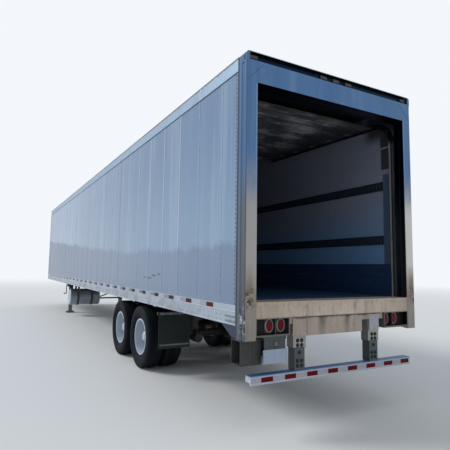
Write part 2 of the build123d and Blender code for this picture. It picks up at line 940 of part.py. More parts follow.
# Fuel tank across the trailer, with rolled rims, a filler and two straps
tank_place = body_length - tank_setback
tank_outer = half_width - tank_inset
tank_inner = tank_outer - tank_length
shell = bar_across(tank_place, tank_height, tank_radius, tank_inner, tank_outer)
shell = fillet(shell.edges().filter_by(GeomType.CIRCLE), tank_rim)
filler_middle = tank_height + tank_radius - filler_seat
filler = Cylinder(filler_radius, filler_height)
filler = Pos(at(tank_place + filler_place), tank_outer - filler_inset, filler_middle) * filler
nodes["fuel_tank"] = shell + filler
strap_out = tank_radius + strap_steel
strap_in = tank_radius + running_gap
straps = []
for place in strap_places:
    near = place - strap_width / 2
    far = place + strap_width / 2
    strap = bar_across(tank_place, tank_height, strap_out, near, far)
    strap += block(tank_place - strap_out, tank_place + strap_out, near, far, tank_height, crossmember_low)
    strap -= bar_across(tank_place, tank_height, strap_in, near - 1, far + 1)
    strap -= block(
        tank_place - strap_in, tank_place + strap_in, near - 1, far + 1,
        tank_height, crossmember_low - strap_width,
    )
    straps.append(strap)
nodes["tank_straps"] = Compound(children=straps)

# Sliding tandem: side members, cross boxes, spring hangers and flap arms
axle_places = (tandem_place - axle_spacing / 2, tandem_place + axle_spacing / 2)
hub_height = tyre_radius
slider_high = slide_top - running_gap
slider_low = slider_high - slider_height
spring_low = hub_height + seat_height
spring_high = spring_low + spring_rise
hanger_gap = axle_spacing / 2 - hanger_inset
hanger_places = (axle_places[0] - hanger_gap, tandem_place, axle_places[1] + hanger_gap)
slider_rear = tandem_place - slider_reach
slider_front = tandem_place + slider_reach
arm_high = slide_low - flap_arm_drop
arm_low = arm_high - flap_arm
flap_face = slider_rear - flap_thickness
bogie = None
rod_pin = hanger_low + rod_pin_rise
for turn in (1, -1):
    member = block(slider_rear, slider_front, turn * side_in, turn * side_out, slider_low, slider_high)
    for place in hanger_places:
        foot_high = hanger_low + hanger_foot_height
        hanger = [
            (place - hanger_top_half, slider_low), (place + hanger_top_half, slider_low),
            (place + hanger_waist_half, foot_high), (place + hanger_foot_half, hanger_low),
            (place - hanger_foot_half, hanger_low), (place - hanger_waist_half, foot_high),
        ]
        member += plate(hanger, turn * side_in, turn * side_out)
        rocker_room = rocker_height + rocker_clear if place == tandem_place else running_gap
        member -= block(
            place - hanger_top_half - 1, place + hanger_top_half + 1,
            turn * (side_in + hanger_wall), turn * (side_out - hanger_wall),
            hanger_low - 1, spring_high + rocker_room,
        )
    for place in hanger_places[1:]:
        member += bar_across(place, rod_pin, pin_radius, turn * side_in, turn * side_out)
    member += block(
        slider_rear, slider_rear + flap_arm, turn * slider_place, turn * (flap_outer + flap_arm / 3),
        arm_low, arm_high,
    )
    member += block(
        slider_rear, slider_rear + cross_box, turn * side_in, turn * side_out, arm_low, slider_low
    )
    bogie = member if bogie is None else bogie + member
cross_places = (slider_rear, hanger_places[0] + hanger_inset, tandem_place, slider_front - cross_box)
cross_low = slider_low + (slider_height - cross_box) / 3
for place in cross_places:
    bogie += block(place, place + cross_box, -side_in, side_in, cross_low, cross_low + cross_box)
nodes["bogie_frame"] = bogie

# Leaf springs, the equalizers that join them at the middle hangers, and radius rods
springs = []
reach = hanger_gap - 6
for axle in axle_places:
    lower = ThreePointArc(
        (at(axle - reach), spring_high - spring_end),
        (at(axle), spring_low),
        (at(axle + reach), spring_high - spring_end),
    )
    upper = ThreePointArc(
        (at(axle + reach), spring_high),
        (at(axle), spring_low + spring_thickness),
        (at(axle - reach), spring_high),
    )
    crescent = make_face(lower + Line(lower @ 1, upper @ 0) + upper + Line(upper @ 1, lower @ 0))
    spring_plane = Plane.XZ.offset(-slider_place - spring_width / 2)
    springs += pair(extrude(spring_plane * crescent, amount=spring_width))
rocker_low = spring_high + running_gap
rocker_end = rocker_low + rocker_height / 4
rocker_high = rocker_low + rocker_height
rocker = [
    (-rocker_half_length, rocker_low), (-30, rocker_low), (0, rocker_end), (30, rocker_low),
    (rocker_half_length, rocker_low), (rocker_half_length, rocker_end),
    (40, rocker_high), (-40, rocker_high), (-rocker_half_length, rocker_end),
]
rocker_half = slider_width / 2 - hanger_wall - running_gap
springs += pair(plate(
    [(tandem_place + x, z) for x, z in rocker], slider_place - rocker_half, slider_place + rocker_half
))
seat_pin = hub_height + seat_pin_rise
pin_hole = pin_radius + running_gap
rod_near = slider_place - bush_half
rod_far = slider_place + bush_half
for axle, hanger in zip(axle_places, hanger_places[1:]):
    ends = ((hanger, rod_pin), (axle + seat_pin_reach, seat_pin))
    (start_x, start_z), (end_x, end_z) = ends
    rod = strut((start_x, slider_place, start_z), (end_x, slider_place, end_z), Circle(rod_radius))
    for x, z in ends:
        rod += bar_across(x, z, bush_radius, rod_near, rod_far)
    for x, z in ends:
        rod -= bar_across(x, z, pin_hole, rod_near - 1, rod_far + 1)
    springs += pair(rod)
nodes["leaf_springs"] = Compound(children=springs)

# Axles: tube and spindles, spring seats and clamps, brake plates and brake chambers
chamber_height = hub_height - chamber_drop
clamp_low = spring_low + spring_thickness + clamp_gap
clamp_high = spring_low + spring_thickness + clamp_bolt_rise
axles = []
for axle in axle_places:
    beam = bar_across(axle, hub_height, axle_radius, -axle_half, axle_half)
    for turn in (1, -1):
        beam += bar_across(axle, hub_height, spindle_radius, turn * axle_half, turn * spindle_end)
        seat_in = turn * (slider_place - spring_width / 2 - seat_margin)
        seat_out = turn * (slider_place + spring_width / 2 + seat_margin)
        beam += block(axle - seat_half, axle + seat_half, seat_in, seat_out, hub_height + 20, spring_low)
        beam += block(
            axle - clamp_half, axle + clamp_half, seat_in, seat_out, clamp_low, clamp_low + clamp_plate
        )
        bolt = Cylinder(clamp_bolt_radius, clamp_high - hub_height)
        for bolt_x in (-clamp_bolt_place, clamp_bolt_place):
            for bolt_y in (seat_in + turn * seat_margin / 2, seat_out - turn * seat_margin / 2):
                beam += Pos(at(axle + bolt_x), bolt_y, (clamp_high + hub_height) / 2) * bolt
        for ear in (1, -1):
            ear_face = slider_place + ear * (bush_half + running_gap)
            beam += block(
                axle + seat_half - 10, axle + seat_pin_reach + bush_radius - 8,
                turn * ear_face, turn * (ear_face + ear * seat_ear),
                seat_pin - pin_radius - 8, seat_pin + pin_radius + 8,
            )
        pin_reach = bush_half + seat_ear + 6
        beam += bar_across(
            axle + seat_pin_reach, seat_pin, pin_radius,
            turn * (slider_place - pin_reach), turn * (slider_place + pin_reach),
        )
        plate_back = brake_plate_face - brake_plate_steel
        beam += bar_across(axle, hub_height, brake_plate, turn * plate_back, turn * brake_plate_face)
        cam_place = axle - cam_setback
        cam_height = hub_height + cam_rise
        cam_start = chamber_place - 30
        beam += bar_across(cam_place, cam_height, cam_radius, turn * cam_start, turn * plate_back)
        chamber_rear = axle - chamber_setback
        chamber_front = chamber_rear + chamber_length
        chamber = bar_along(
            chamber_rear, chamber_front, turn * chamber_place, chamber_height, chamber_radius
        )
        beam += fillet(chamber.edges().filter_by(GeomType.CIRCLE), chamber_radius / 4)
        bracket_rear = chamber_front - 2 * chamber_bracket / 3
        bracket_out = chamber_place + chamber_radius - 10
        bracket_low = chamber_height - 0.7 * chamber_radius
        beam += bar_along(
            bracket_rear, cam_place, turn * chamber_place, chamber_height, push_rod_radius
        )
        beam += block(
            cam_place - cam_radius, cam_place + cam_radius,
            turn * (chamber_place - chamber_bracket), turn * (chamber_place + chamber_bracket),
            chamber_height - cam_radius, cam_height + cam_radius,
        )
        beam += block(
            bracket_rear, axle + 10, turn * bracket_out, turn * (bracket_out - chamber_bracket),
            bracket_low, hub_height + axle_radius - 10,
        )
        beam += block(
            bracket_rear, bracket_rear + chamber_bracket,
            turn * (chamber_place - chamber_radius + chamber_bracket), turn * bracket_out,
            bracket_low, chamber_height + 0.7 * chamber_radius,
        )
    axles.append(beam)
nodes["axles"] = Compound(children=axles)

# Air tank hung below a cross box of the tandem
air_place = cross_places[2] + cross_box / 2 + air_tank_setback
air_height = slider_low - air_tank_drop
air_half = side_in - air_tank_inset
air = bar_across(air_place, air_height, air_tank_radius, -air_half, air_half)
air = fillet(air.edges().filter_by(GeomType.CIRCLE), air_tank_edge)
strap_near = air_strap_place - air_strap_width / 2
strap_far = air_strap_place + air_strap_width / 2
strap_level = slider_low + 20
for turn in (1, -1):
    air += block(
        cross_places[2] + cross_box, air_place + air_strap_width, turn * strap_near, turn * strap_far,
        strap_level, strap_level + air_strap_width,
    )
    air += block(
        air_place - air_strap_width, air_place + air_strap_width, turn * strap_near, turn * strap_far,
        air_height + air_tank_radius / 2, strap_level + air_strap_width,
    )
nodes["air_tank"] = air

# Mud flaps, hung on the rear face of the flap arms
flap = block(
    flap_face, flap_face + flap_thickness, flap_inner, flap_outer, arm_high - flap_height, arm_high
)
nodes["mud_flaps"] = Compound(children=pair(flap))

# Tyres: rounded walls between the bead and the tread's shoulder
tyre_half = tyre_width / 2
rim_half = rim_width / 2


def ring(points, centre_y):
    """A closed outline of (radius, offset) points turned round the wheel axis."""
    face = make_face(Polyline(*[(r, centre_y + y) for r, y in points], close=True))
    return revolve(face, Axis.Y)


def tyre(centre_y):
    """One tyre about the wheel axis, its middle at centre_y."""
    seat = rim_half - rim_wall - 1
    bulge = tyre_half - 2.2
    shoulder = tyre_half - 14
    edges = []
    for turn in (1, -1):
        bead = (bead_radius + 26, centre_y + turn * seat)
        side = (bead_radius + 110, centre_y + turn * bulge)
        upper = (tyre_radius - 24, centre_y + turn * shoulder)
        tread = (tyre_radius, centre_y + turn * (shoulder - 22))
        edges += [Line((bead_radius, centre_y + turn * seat), bead)]
        edges += [ThreePointArc(bead, side, upper), Line(upper, tread)]
    edges += [Line((bead_radius, centre_y - seat), (bead_radius, centre_y + seat))]
    edges += [Line(
        (tyre_radius, centre_y - shoulder + 22), (tyre_radius, centre_y + shoulder - 22)
    )]
    return revolve(make_face(edges), Axis.Y)


def rim(centre_y, turn):
    """A rim whose dished disc reaches the clamping plane at the middle of the pair."""
    well = bead_radius - 0.4
    barrel = [
        (rim_radius, rim_half), (rim_radius, rim_half - rim_wall), (well, rim_half - rim_wall),
        (well, rim_wall - rim_half), (rim_radius, rim_wall - rim_half), (rim_radius, -rim_half),
        (well - rim_wall, -rim_half), (well - rim_wall, rim_half),
    ]
    clamp = dual_centre - centre_y
    edge = -turn * (rim_half - 12)
    face = clamp + turn * disc_thickness
    disc = [
        (well - rim_wall + 1, edge), (well - rim_wall + 1, edge + turn * 14),
        (disc_radius + 34, face + turn * 20), (disc_radius, face), (80, face), (80, clamp),
        (disc_radius + 4, clamp), (disc_radius + 38, clamp + turn * 8),
    ]
    return ring(barrel, centre_y) + ring(disc, centre_y)


# Wheels: two rims back to back on a hub with its cap, and the brake drum inboard
outer_centre = dual_centre + dual_spacing / 2
inner_centre = dual_centre - dual_spacing / 2
tyre_pair = Compound(children=[tyre(outer_centre), tyre(inner_centre)])
wheel = rim(outer_centre, 1) + rim(inner_centre, -1)
for index in range(hand_holes):
    angle = radians(360 / hand_holes * index + 18)
    centre = Pos(hand_hole_circle * cos(angle), dual_centre, hand_hole_circle * sin(angle))
    wheel -= centre * Rot(90, 0, 0) * Cylinder(hand_hole_radius, 200)
hub_bore = spindle_radius + running_gap
hub_inner = axle_half + 10
flange_face = dual_centre - disc_thickness
cap_face = spindle_end + 22
hub = [
    (hub_bore, hub_inner), (110, hub_inner), (110, flange_face - 38), (disc_radius, flange_face - 33),
    (disc_radius, flange_face), (hub_radius, flange_face), (hub_radius, dual_centre + 120),
    (hub_cap_radius, dual_centre + 140), (hub_cap_radius, cap_face - 14), (hub_cap_radius - 14, cap_face),
    (0, cap_face), (0, spindle_end + running_gap), (hub_bore, spindle_end + running_gap),
]
drum = [
    (drum_radius, hub_inner - 8), (drum_radius, flange_face - 48), (110, flange_face - 38),
    (110, flange_face - 54), (drum_radius - drum_wall, flange_face - 62),
    (drum_radius - drum_wall, hub_inner - 8),
]
wheel += ring(hub, 0) + ring(drum, 0)
for axle, label in zip(axle_places, ("rear", "front")):
    place = Pos(at(axle), 0, hub_height)
    for side, turned in (("left", False), ("right", True)):
        tyres = mirror(tyre_pair, about=Plane.XZ) if turned else tyre_pair
        wheels = mirror(wheel, about=Plane.XZ) if turned else wheel
        nodes["tyres_" + label + "_" + side] = place * tyres
        nodes["wheels_" + label + "_" + side] = place * wheels

for name, shape in nodes.items():
    export_step(shape, "parts/" + name + ".step")
print(len(nodes), "nodes")
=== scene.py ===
import bpy
import numpy as np
from mathutils import Matrix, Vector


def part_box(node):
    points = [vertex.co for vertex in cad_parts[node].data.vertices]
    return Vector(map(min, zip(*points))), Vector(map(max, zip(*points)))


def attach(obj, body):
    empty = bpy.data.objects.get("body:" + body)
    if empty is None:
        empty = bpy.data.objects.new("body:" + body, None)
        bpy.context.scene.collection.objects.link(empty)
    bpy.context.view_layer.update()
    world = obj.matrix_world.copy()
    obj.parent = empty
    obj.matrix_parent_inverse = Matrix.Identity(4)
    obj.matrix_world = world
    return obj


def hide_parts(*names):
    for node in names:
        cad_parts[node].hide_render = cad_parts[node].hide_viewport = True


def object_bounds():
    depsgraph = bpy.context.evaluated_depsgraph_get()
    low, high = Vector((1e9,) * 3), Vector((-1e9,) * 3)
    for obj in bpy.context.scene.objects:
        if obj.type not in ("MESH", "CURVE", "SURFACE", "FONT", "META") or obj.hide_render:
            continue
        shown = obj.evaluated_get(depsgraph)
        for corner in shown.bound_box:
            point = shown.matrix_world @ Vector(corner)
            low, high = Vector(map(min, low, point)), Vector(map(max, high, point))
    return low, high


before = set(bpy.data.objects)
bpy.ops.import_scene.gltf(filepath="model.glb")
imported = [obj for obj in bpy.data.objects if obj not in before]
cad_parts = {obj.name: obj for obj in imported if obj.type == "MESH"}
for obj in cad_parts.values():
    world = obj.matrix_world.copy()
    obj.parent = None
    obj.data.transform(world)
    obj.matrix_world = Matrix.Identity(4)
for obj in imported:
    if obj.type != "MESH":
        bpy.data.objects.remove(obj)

cad_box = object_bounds()

# Side walls. Thin painted metal sheets over foam, with a glass-fibre liner inside, one piece
# with the wall's core. The sheets lap at posts 622 mm apart and are riveted through them.


class Dye:
    """A socket in a node tree. Arithmetic on it adds Math nodes, and numbers alone stay in Python."""

    def __init__(self, nodes, socket):
        self.nodes = nodes
        self.socket = socket

    def math(self, operation, *values):
        return self.nodes.node("ShaderNodeMath", {"operation": operation}, dict(enumerate(values)))

    def __add__(self, other):
        return self.math("ADD", self, other)

    def __sub__(self, other):
        return self.math("SUBTRACT", self, other)

    def __rsub__(self, other):
        return self.math("SUBTRACT", other, self)

    def __mul__(self, other):
        return self.math("MULTIPLY", self, other)

    def __truediv__(self, other):
        return self.math("DIVIDE", self, other)

    def __rtruediv__(self, other):
        return self.math("DIVIDE", other, self)

    def __mod__(self, other):
        return self.math("FLOORED_MODULO", self, other)

    def __rmod__(self, other):
        return self.math("FLOORED_MODULO", other, self)

    def __abs__(self):
        return self.math("ABSOLUTE", self)

    def ramp(self, low, high):
        """0 where the value is low and 1 where it is high, smooth between them."""
        return self.nodes.node("ShaderNodeMapRange", {"interpolation_type": "SMOOTHSTEP"},
                               {0: self, 1: low, 2: high})

    __radd__ = __add__
    __rmul__ = __mul__


class Nodes:
    """The node tree of a finish or of the sky."""

    def __init__(self, tree):
        self.tree = tree

    def node(self, kind, settings={}, sockets={}, output=0):
        """Any node: its type, its settings, then the values or links of its sockets."""
        node = self.tree.nodes.new(kind)
        for name, value in settings.items():
            setattr(node, name, value)
        for name, value in sockets.items():
            if isinstance(value, Dye):
                self.tree.links.new(value.socket, node.inputs[name])
            else:
                node.inputs[name].default_value = value
        return Dye(self, node.outputs[output])

    def show(self, surface, output):
        """Links a surface to the tree's output node."""
        self.tree.links.new(surface.socket, self.tree.nodes[output].inputs["Surface"])


class Finish(Nodes):
    """A material named for its finish: one shader, the object's coordinates, and what varies over it."""

    def __init__(self, name, **constants):
        self.material = bpy.data.materials.new(name)
        self.material.use_nodes = True
        super().__init__(self.material.node_tree)
        self.shader = self.tree.nodes["Principled BSDF"]
        for socket, value in constants.items():
            self.shader.inputs[socket.replace("_", " ")].default_value = value
        self.place = self.node("ShaderNodeTexCoord", output="Object")
        split = self.node("ShaderNodeSeparateXYZ", {}, {0: self.place})
        self.x, self.y, self.z = (Dye(self, s) for s in split.socket.node.outputs)

    def feed(self, socket, value):
        self.tree.links.new(value.socket, self.shader.inputs[socket])

    def cloud(self, scale, detail=4, stretch=(1, 1, 1), rough=0.55):
        """Soft noise from 0 to 1, its scale in spots per metre, stretched along the axes."""
        place = self.node("ShaderNodeMapping", {}, {0: self.place, "Scale": stretch})
        values = {"Vector": place, "Scale": scale, "Detail": detail, "Roughness": rough}
        return self.node("ShaderNodeTexNoise", {}, values)

    def ahead(self, low, high):
        """0 at low and 1 at high, in metres ahead of the trailer's rear face."""
        return self.x.ramp(rear + low, rear + high)

    def patches(self, low, high, *noise, **rough):
        """Patches where a cloud goes from low to high."""
        return self.cloud(*noise, **rough).ramp(low, high)

    def blend(self, factor, first, second):
        """From the first colour to the second as the factor goes from 0 to 1."""
        first, second = (c if isinstance(c, Dye) else (*c, 1) for c in (first, second))
        return self.node("ShaderNodeMix", {"data_type": "RGBA"}, {0: factor, 6: first, 7: second}, 2)

    def base(self, factor, first, second):
        """The base coat: from the first colour to the second by the factor."""
        self.tone = self.blend(factor, first, second)
        self.feed("Base Color", self.tone)

    def lay(self, factor, colour):
        """Lays a colour over the coats so far, as far as the factor covers."""
        self.base(factor, self.tone, colour)

    def relief(self, height, depth):
        """Bumps of that depth in metres where the height goes from 0 to 1."""
        bump = {"Height": height, "Distance": depth, "Strength": 1.0}
        self.feed("Normal", self.node("ShaderNodeBump", {}, bump))

    def wear(self, value, low, high):
        """Roughness from low to high as the value goes from 0 to 1."""
        self.feed("Roughness", value * (high - low) + low)

    def on(self, *names):
        """Gives CAD nodes this finish."""
        for name in names:
            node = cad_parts[name]
            if not node.material_slots:
                node.data.materials.append(self.material)
            for place in node.material_slots:
                place.link = "OBJECT"
                place.material = self.material


rear = round(float(cad_box[0][0]), 4)
first_seam, seam_pitch = 0.555, 0.622
wall = Finish("wall_sheet", Coat_Weight=0.3, Coat_Roughness=0.09, Specular_IOR_Level=0.35)
z = wall.z
outside = abs(wall.y).ramp(1.255, 1.26)
road_side = wall.y.ramp(-0.1, 0.1)
length = wall.x - rear
# Painted reflection: on the road side the sheet darkens below a ragged edge that climbs toward the front, a
# reflected dark tree line that is darker far ahead. On the right side the same band is a soft road film.
ragged = wall.cloud(2.1, 9, (1, 1, 0.05), 0.74) * 0.38 + wall.cloud(9, 3, (1, 1, 0.5)) * 0.08
climb = (length - 4.2 + abs(length - 4.2)) * 0.031
film = (z - climb + ragged).ramp(2.22, 2.11) * road_side
film = film + (z + ragged).ramp(2.45, 1.6) * (1 - road_side)
# The white paint is given the blue-grey of its skylit shade. It is paler towards the front as painted
# reflection of the sky, and darker towards the top.
upper = wall.blend(z.ramp(1.9, 3.7), (0.2, 0.31, 0.45), (0.11, 0.205, 0.355))
upper = wall.blend(length.ramp(2, 14) * 0.7, upper, (0.31, 0.43, 0.575))
reflection_and_film_tone = wall.blend(length.ramp(3, 13), (0.15, 0.21, 0.32), (0.04, 0.09, 0.2))
wall.base(film * 0.84, upper, reflection_and_film_tone)
veil = wall.patches(0.42, 0.62, 1.1, 5, (1, 1, 0.25), 0.6) * 0.25
wall.lay(veil, (0.15, 0.215, 0.32))
# Lighter vertical streaks above the band are painted reflection.
streak = wall.patches(0.5, 0.66, 3.2, 4, (1, 1, 0.05), 0.6)
wall.lay(streak * (1 - film * 0.8) * 0.26, (0.4, 0.5, 0.62))
drip = wall.patches(0.6, 0.74, 26, 3, (1, 1, 0.025), 0.5) * z.ramp(2.9, 3.84)
wall.lay(drip * 0.35, (0.14, 0.19, 0.27))
# Paler towards the foot of the sheet: road splash, and painted reflection of the ground.
splash_and_reflection = (z + wall.cloud(14, 5) * 0.35).ramp(1.55, 1.36)
wall.lay(splash_and_reflection * 0.4, (0.3, 0.34, 0.42))
local = (length - first_seam + seam_pitch / 2) % seam_pitch
chance = wall.node("ShaderNodeTexWhiteNoise", {"noise_dimensions": "1D"}, {"W": length - local})
edge = abs(abs(local - seam_pitch / 2) - 0.0215).ramp(0.003, 0.0006)
wall.lay(edge * chance * 0.3, (0.1, 0.15, 0.24))
# Painted glints: pale streaks along some of the sheet laps.
painted_seam_glint = abs(local - seam_pitch / 2).ramp(0.03, 0.004) * chance.ramp(0.45, 0.6)
wall.lay(painted_seam_glint * (1 - film * 0.85) * 0.48, (0.5, 0.6, 0.72))
# Painted shadows: short dark dashes at the frame row of rivets by the rear posts.
rivet_shadow = abs((z - 1.32 + 0.025) % 0.05 - 0.025).ramp(0.014, 0.01)
rivet_shadow = rivet_shadow * abs(length - 0.206).ramp(0.023, 0.018)
wall.lay(rivet_shadow * 0.95, (0.03, 0.05, 0.09))
# Four small dark oval patches on the road side.
dark_spots = ((2.95, 1.508, 0.095), (2.745, 1.55, 0.1), (2.51, 1.574, 0.07), (3.2, 1.515, 0.05))
for spot_x, spot_z, reach in dark_spots:
    across = (length - spot_x) / reach
    along = (z - spot_z + wall.cloud(30, 4) * 0.014 - 0.007) / 0.016
    dark_spot = (across * across + along * along).ramp(1.5, 0.5) * road_side
    wall.lay(dark_spot * 0.9, (0.03, 0.045, 0.08))
paint = wall.tone
# Inside, the off-white liner is painted as its shade: dark blue-grey, bluer towards the bottom.
wall.base(wall.cloud(2.2, 6, (0.35, 1, 1)), (0.185, 0.2, 0.26), (0.3, 0.325, 0.41))
cool = (z + wall.cloud(3) * 0.4).ramp(3.1, 2.1)
wall.lay(cool * 0.7, (0.1, 0.28, 0.54))
scrape = wall.patches(0.6, 0.74, 9, 6, (0.12, 1, 1.4), 0.7)
wall.lay(scrape * 0.4, (0.09, 0.1, 0.12))
mark = wall.patches(0.64, 0.68, 21, 8, (1, 1, 1), 0.8)
wall.lay(mark * 0.55, (0.03, 0.03, 0.04))
joint = abs((length - 0.9) % 1.22 - 0.61).ramp(0.004, 0.001)
wall.lay(joint * 0.6, (0.12, 0.12, 0.14))
# Painted shade in the liner's upper corner by the doorway.
corner = z.ramp(3.46, 3.66) * length.ramp(0.8, 0.6)
wall.lay(corner * 0.9, (0.012, 0.013, 0.018))
wall.base(outside, wall.tone, paint)
wall.wear(outside * -0.3 + wall.cloud(6) * 0.12, 0.5, 1.0)
ripple = wall.cloud(2.1, 2, (1, 1, 0.1)) * 0.8 + wall.cloud(7.5, 2, (1, 1, 0.06)) * 0.2
wall.relief(ripple * outside + wall.cloud(60, 2) * (1 - outside) * 0.06, 0.009)
wall.on("side_wall_left", "side_wall_right")


def woven(rows, columns, ring=False):
    """Quads between neighbours in a grid of points, whose columns close up, and in a ring its rows too."""
    row, column = np.meshgrid(np.arange(rows if ring else rows - 1), np.arange(columns), indexing="ij")
    below, after = (row + 1) % rows, (column + 1) % columns
    return np.stack([row * columns + column, row * columns + after, below * columns + after,
                     below * columns + column], 2).reshape(-1, 4)


def turned(profile, sides=12):
    """A profile of (radius, height) rows turned round +Z: x = r cos a, y = r sin a, z = h, ends capped."""
    radius, height = np.array(profile, float).T
    angle = np.arange(sides) * 2 * np.pi / sides
    x = radius[:, None] * np.cos(angle)
    y = radius[:, None] * np.sin(angle)
    points = np.stack([x, y, np.broadcast_to(height[:, None], x.shape)], 2).reshape(-1, 3)
    top = np.arange(sides)[None] + (len(radius) - 1) * sides
    return [(points, woven(len(radius), sides)), (points, np.arange(sides)[::-1][None]), (points, top)]


def stamp(form, places, facing):
    """A form copied to each place with its +Z turned to one facing: corner = place + turn @ corner."""
    facing = np.array(facing, float)
    side = np.array([0.0, 0, 1]) if abs(facing[2]) < 0.9 else np.array([1.0, 0, 0])
    turn = np.stack([side, np.cross(facing, side), facing], 1)
    places = np.array(places, float).reshape(-1, 3)
    copies = []
    for points, faces in form:
        moved = (places[:, None] + points @ turn.T).reshape(-1, 3)
        starts = np.arange(len(places)) * len(points)
        copies.append((moved, (faces[None] + starts[:, None, None]).reshape(-1, faces.shape[1])))
    return copies


def put(name, data):
    """An object in the scene with that mesh, lamp or lens."""
    thing = bpy.data.objects.new(name, data)
    bpy.context.scene.collection.objects.link(thing)
    return thing


def assemble(name, forms, finish, smooth=True, body="trailer", weld=True):
    """One piece of (points, faces) forms, its points laid end to end, riding on a body."""
    counts = np.cumsum([0] + [len(points) for points, _ in forms])
    loops = np.concatenate([(faces + start).ravel() for (_, faces), start in zip(forms, counts)])
    totals = np.concatenate([np.full(len(faces), faces.shape[1]) for _, faces in forms])
    mesh = bpy.data.meshes.new(name)
    mesh.vertices.add(int(counts[-1]))
    corners = np.concatenate([points for points, _ in forms])
    mesh.vertices.foreach_set("co", corners.astype(np.float32).ravel())
    mesh.loops.add(len(loops))
    mesh.loops.foreach_set("vertex_index", loops.astype(np.int32))
    mesh.polygons.add(len(totals))
    mesh.polygons.foreach_set("loop_start", (np.cumsum(totals) - totals).astype(np.int32))
    mesh.polygons.foreach_set("loop_total", totals.astype(np.int32))
    mesh.polygons.foreach_set("use_smooth", np.full(len(totals), smooth))
    mesh.update(calc_edges=True)
    piece = put(name, mesh)
    mesh.materials.append(finish.material)
    if weld:
        piece.modifiers.new("weld", "WELD").merge_threshold = 0.00002
    if smooth:
        mesh.set_sharp_from_angle(angle=0.6)
    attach(piece, body)
    return piece


def grid_of(xs, y, zs):
    """Every place of the rows zs and columns xs on a plane across Y."""
    x, z = np.meshgrid(xs, zs)
    return np.stack([x.ravel(), np.full(x.size, y), z.ravel()], 1)


def mottled(name, dark, pale, spots, grain, low, high, **constants):
    """A finish that goes from dark to pale in soft spots, with a roughness from low to high in its grain.
    Spots and grain each hold a cloud's scale, then its detail and stretch where they matter."""
    finish = Finish(name, **constants)
    finish.base(finish.cloud(*spots), dark, pale)
    finish.wear(finish.cloud(*grain), low, high)
    return finish


rivet_dome = turned([(0.0062, -0.0004), (0.0058, 0.0009), (0.0042, 0.0021), (0.0018, 0.0027)], 8)
skin = 1.2895
rivets = mottled("rivet_heads", (0.36, 0.42, 0.5), (0.55, 0.62, 0.7), (25,), (40,), 0.3, 0.55, Metallic=0.7)
rows = np.arange(1.36, 3.82, 0.1)
forms = []
seams = rear + first_seam + seam_pitch * np.arange(25)
for hand in (1, -1):
    forms += stamp(rivet_dome, grid_of(seams, hand * (skin - 0.0013), rows), (0, hand, 0))
    frame_row = grid_of([rear + 0.2], hand * (skin - 0.0067), np.arange(1.32, 3.84, 0.05))
    forms += stamp(rivet_dome, frame_row + (0, hand * 0.0047, 0), (0, hand, 0))
assemble("wall_rivets", forms, rivets)

# Bottom rails. Aluminium extrusions along the foot of each wall, bolted to the floor beams in
# two rows, with red and white reflecting tape on the upper band.
rail = Finish("mill_aluminium", Metallic=0.75)
grime = (rail.cloud(5, 6) + (1.6 - rail.z) * 0.5).ramp(0.62, 0.95)
bare = rail.blend(rail.cloud(3, 4, (0.2, 1, 1)), (0.36, 0.42, 0.49), (0.5, 0.56, 0.63))
rail.base(grime * 0.45, bare, (0.17, 0.17, 0.17))
speck = rail.patches(0.6, 0.66, 55, 4) * rail.z.ramp(1.24, 1.23)
rail.lay(speck * 0.6, (0.07, 0.085, 0.1))
ends = abs((rail.x - rear - 0.2765) % 0.0435 - 0.02175)
rows = abs(abs(rail.z - 1.1505) - 0.0265)
slit = ends.ramp(0.0125, 0.009) * rows.ramp(0.0135, 0.0095)
slit = slit * rail.ahead(0.425, 0.42)
rail.lay(slit * 0.92, (0.02, 0.03, 0.045))
rail.wear(rail.cloud(9, 5, (0.1, 1, 1)), 0.28, 0.6)
rail.relief(rail.cloud(30, 3, (0.04, 1, 1)), 0.0006)
rail.on("bottom_rail_left", "bottom_rail_right")

bolt_head = turned([(0.009, -0.001), (0.009, 0.0012), (0.0075, 0.0026), (0.003, 0.0034)], 8)
bolt = mottled("rail_bolts", (0.18, 0.18, 0.2), (0.42, 0.44, 0.48), (18,), (30,), 0.35, 0.6, Metallic=0.8)
rail_face = 1.2915
beams = rear + 0.5 + 0.305 * np.arange(50)
columns = (beams[:, None] + (-0.05, 0.05)).ravel() + 0.06
forms = []
for hand in (1, -1):
    forms += stamp(bolt_head, grid_of(columns, hand * rail_face, (1.127, 1.178)), (0, hand, 0))
assemble("rail_bolts", forms, bolt)


def slab(low, high):
    """A closed thin slab between two corners, its eight corners in binary order."""
    low, high = np.array(low, float), np.array(high, float)
    bits = (np.arange(8)[:, None] >> np.array([2, 1, 0])) & 1
    faces = np.array([[0, 1, 3, 2], [4, 6, 7, 5], [0, 4, 5, 1], [2, 3, 7, 6], [0, 2, 6, 4], [1, 5, 7, 3]])
    return [(low + bits * (high - low), faces)]


def soften(piece, width, segments=2):
    """Rounds a piece's edges."""
    bevel = piece.modifiers.new("edge", "BEVEL")
    bevel.width = width
    bevel.segments = segments
    bevel.limit_method = "ANGLE"
    bevel.use_clamp_overlap = True


def tape(name, colour, dark, full_dark):
    """Prismatic reflecting tape: small diamond cells under a clear film, dirty at the edges,
    and darker along the rail until full_dark metres from the rear."""
    film = Finish(name, Coat_Roughness=0.3, Specular_IOR_Level=0.08)
    cells = film.node("ShaderNodeTexVoronoi", {"feature": "DISTANCE_TO_EDGE"},
                      {"Vector": film.place, "Scale": 140})
    film.base(cells.ramp(0.16, 0.04) * 0.35, colour, dark)
    film.lay(film.patches(0.5, 0.8, 12, 6) * 0.5, dark)
    film.lay(film.ahead(-0.2, full_dark) * 0.93, dark)
    film.wear(film.cloud(20), 0.25, 0.5)
    film.relief(cells, 0.0004)
    return film


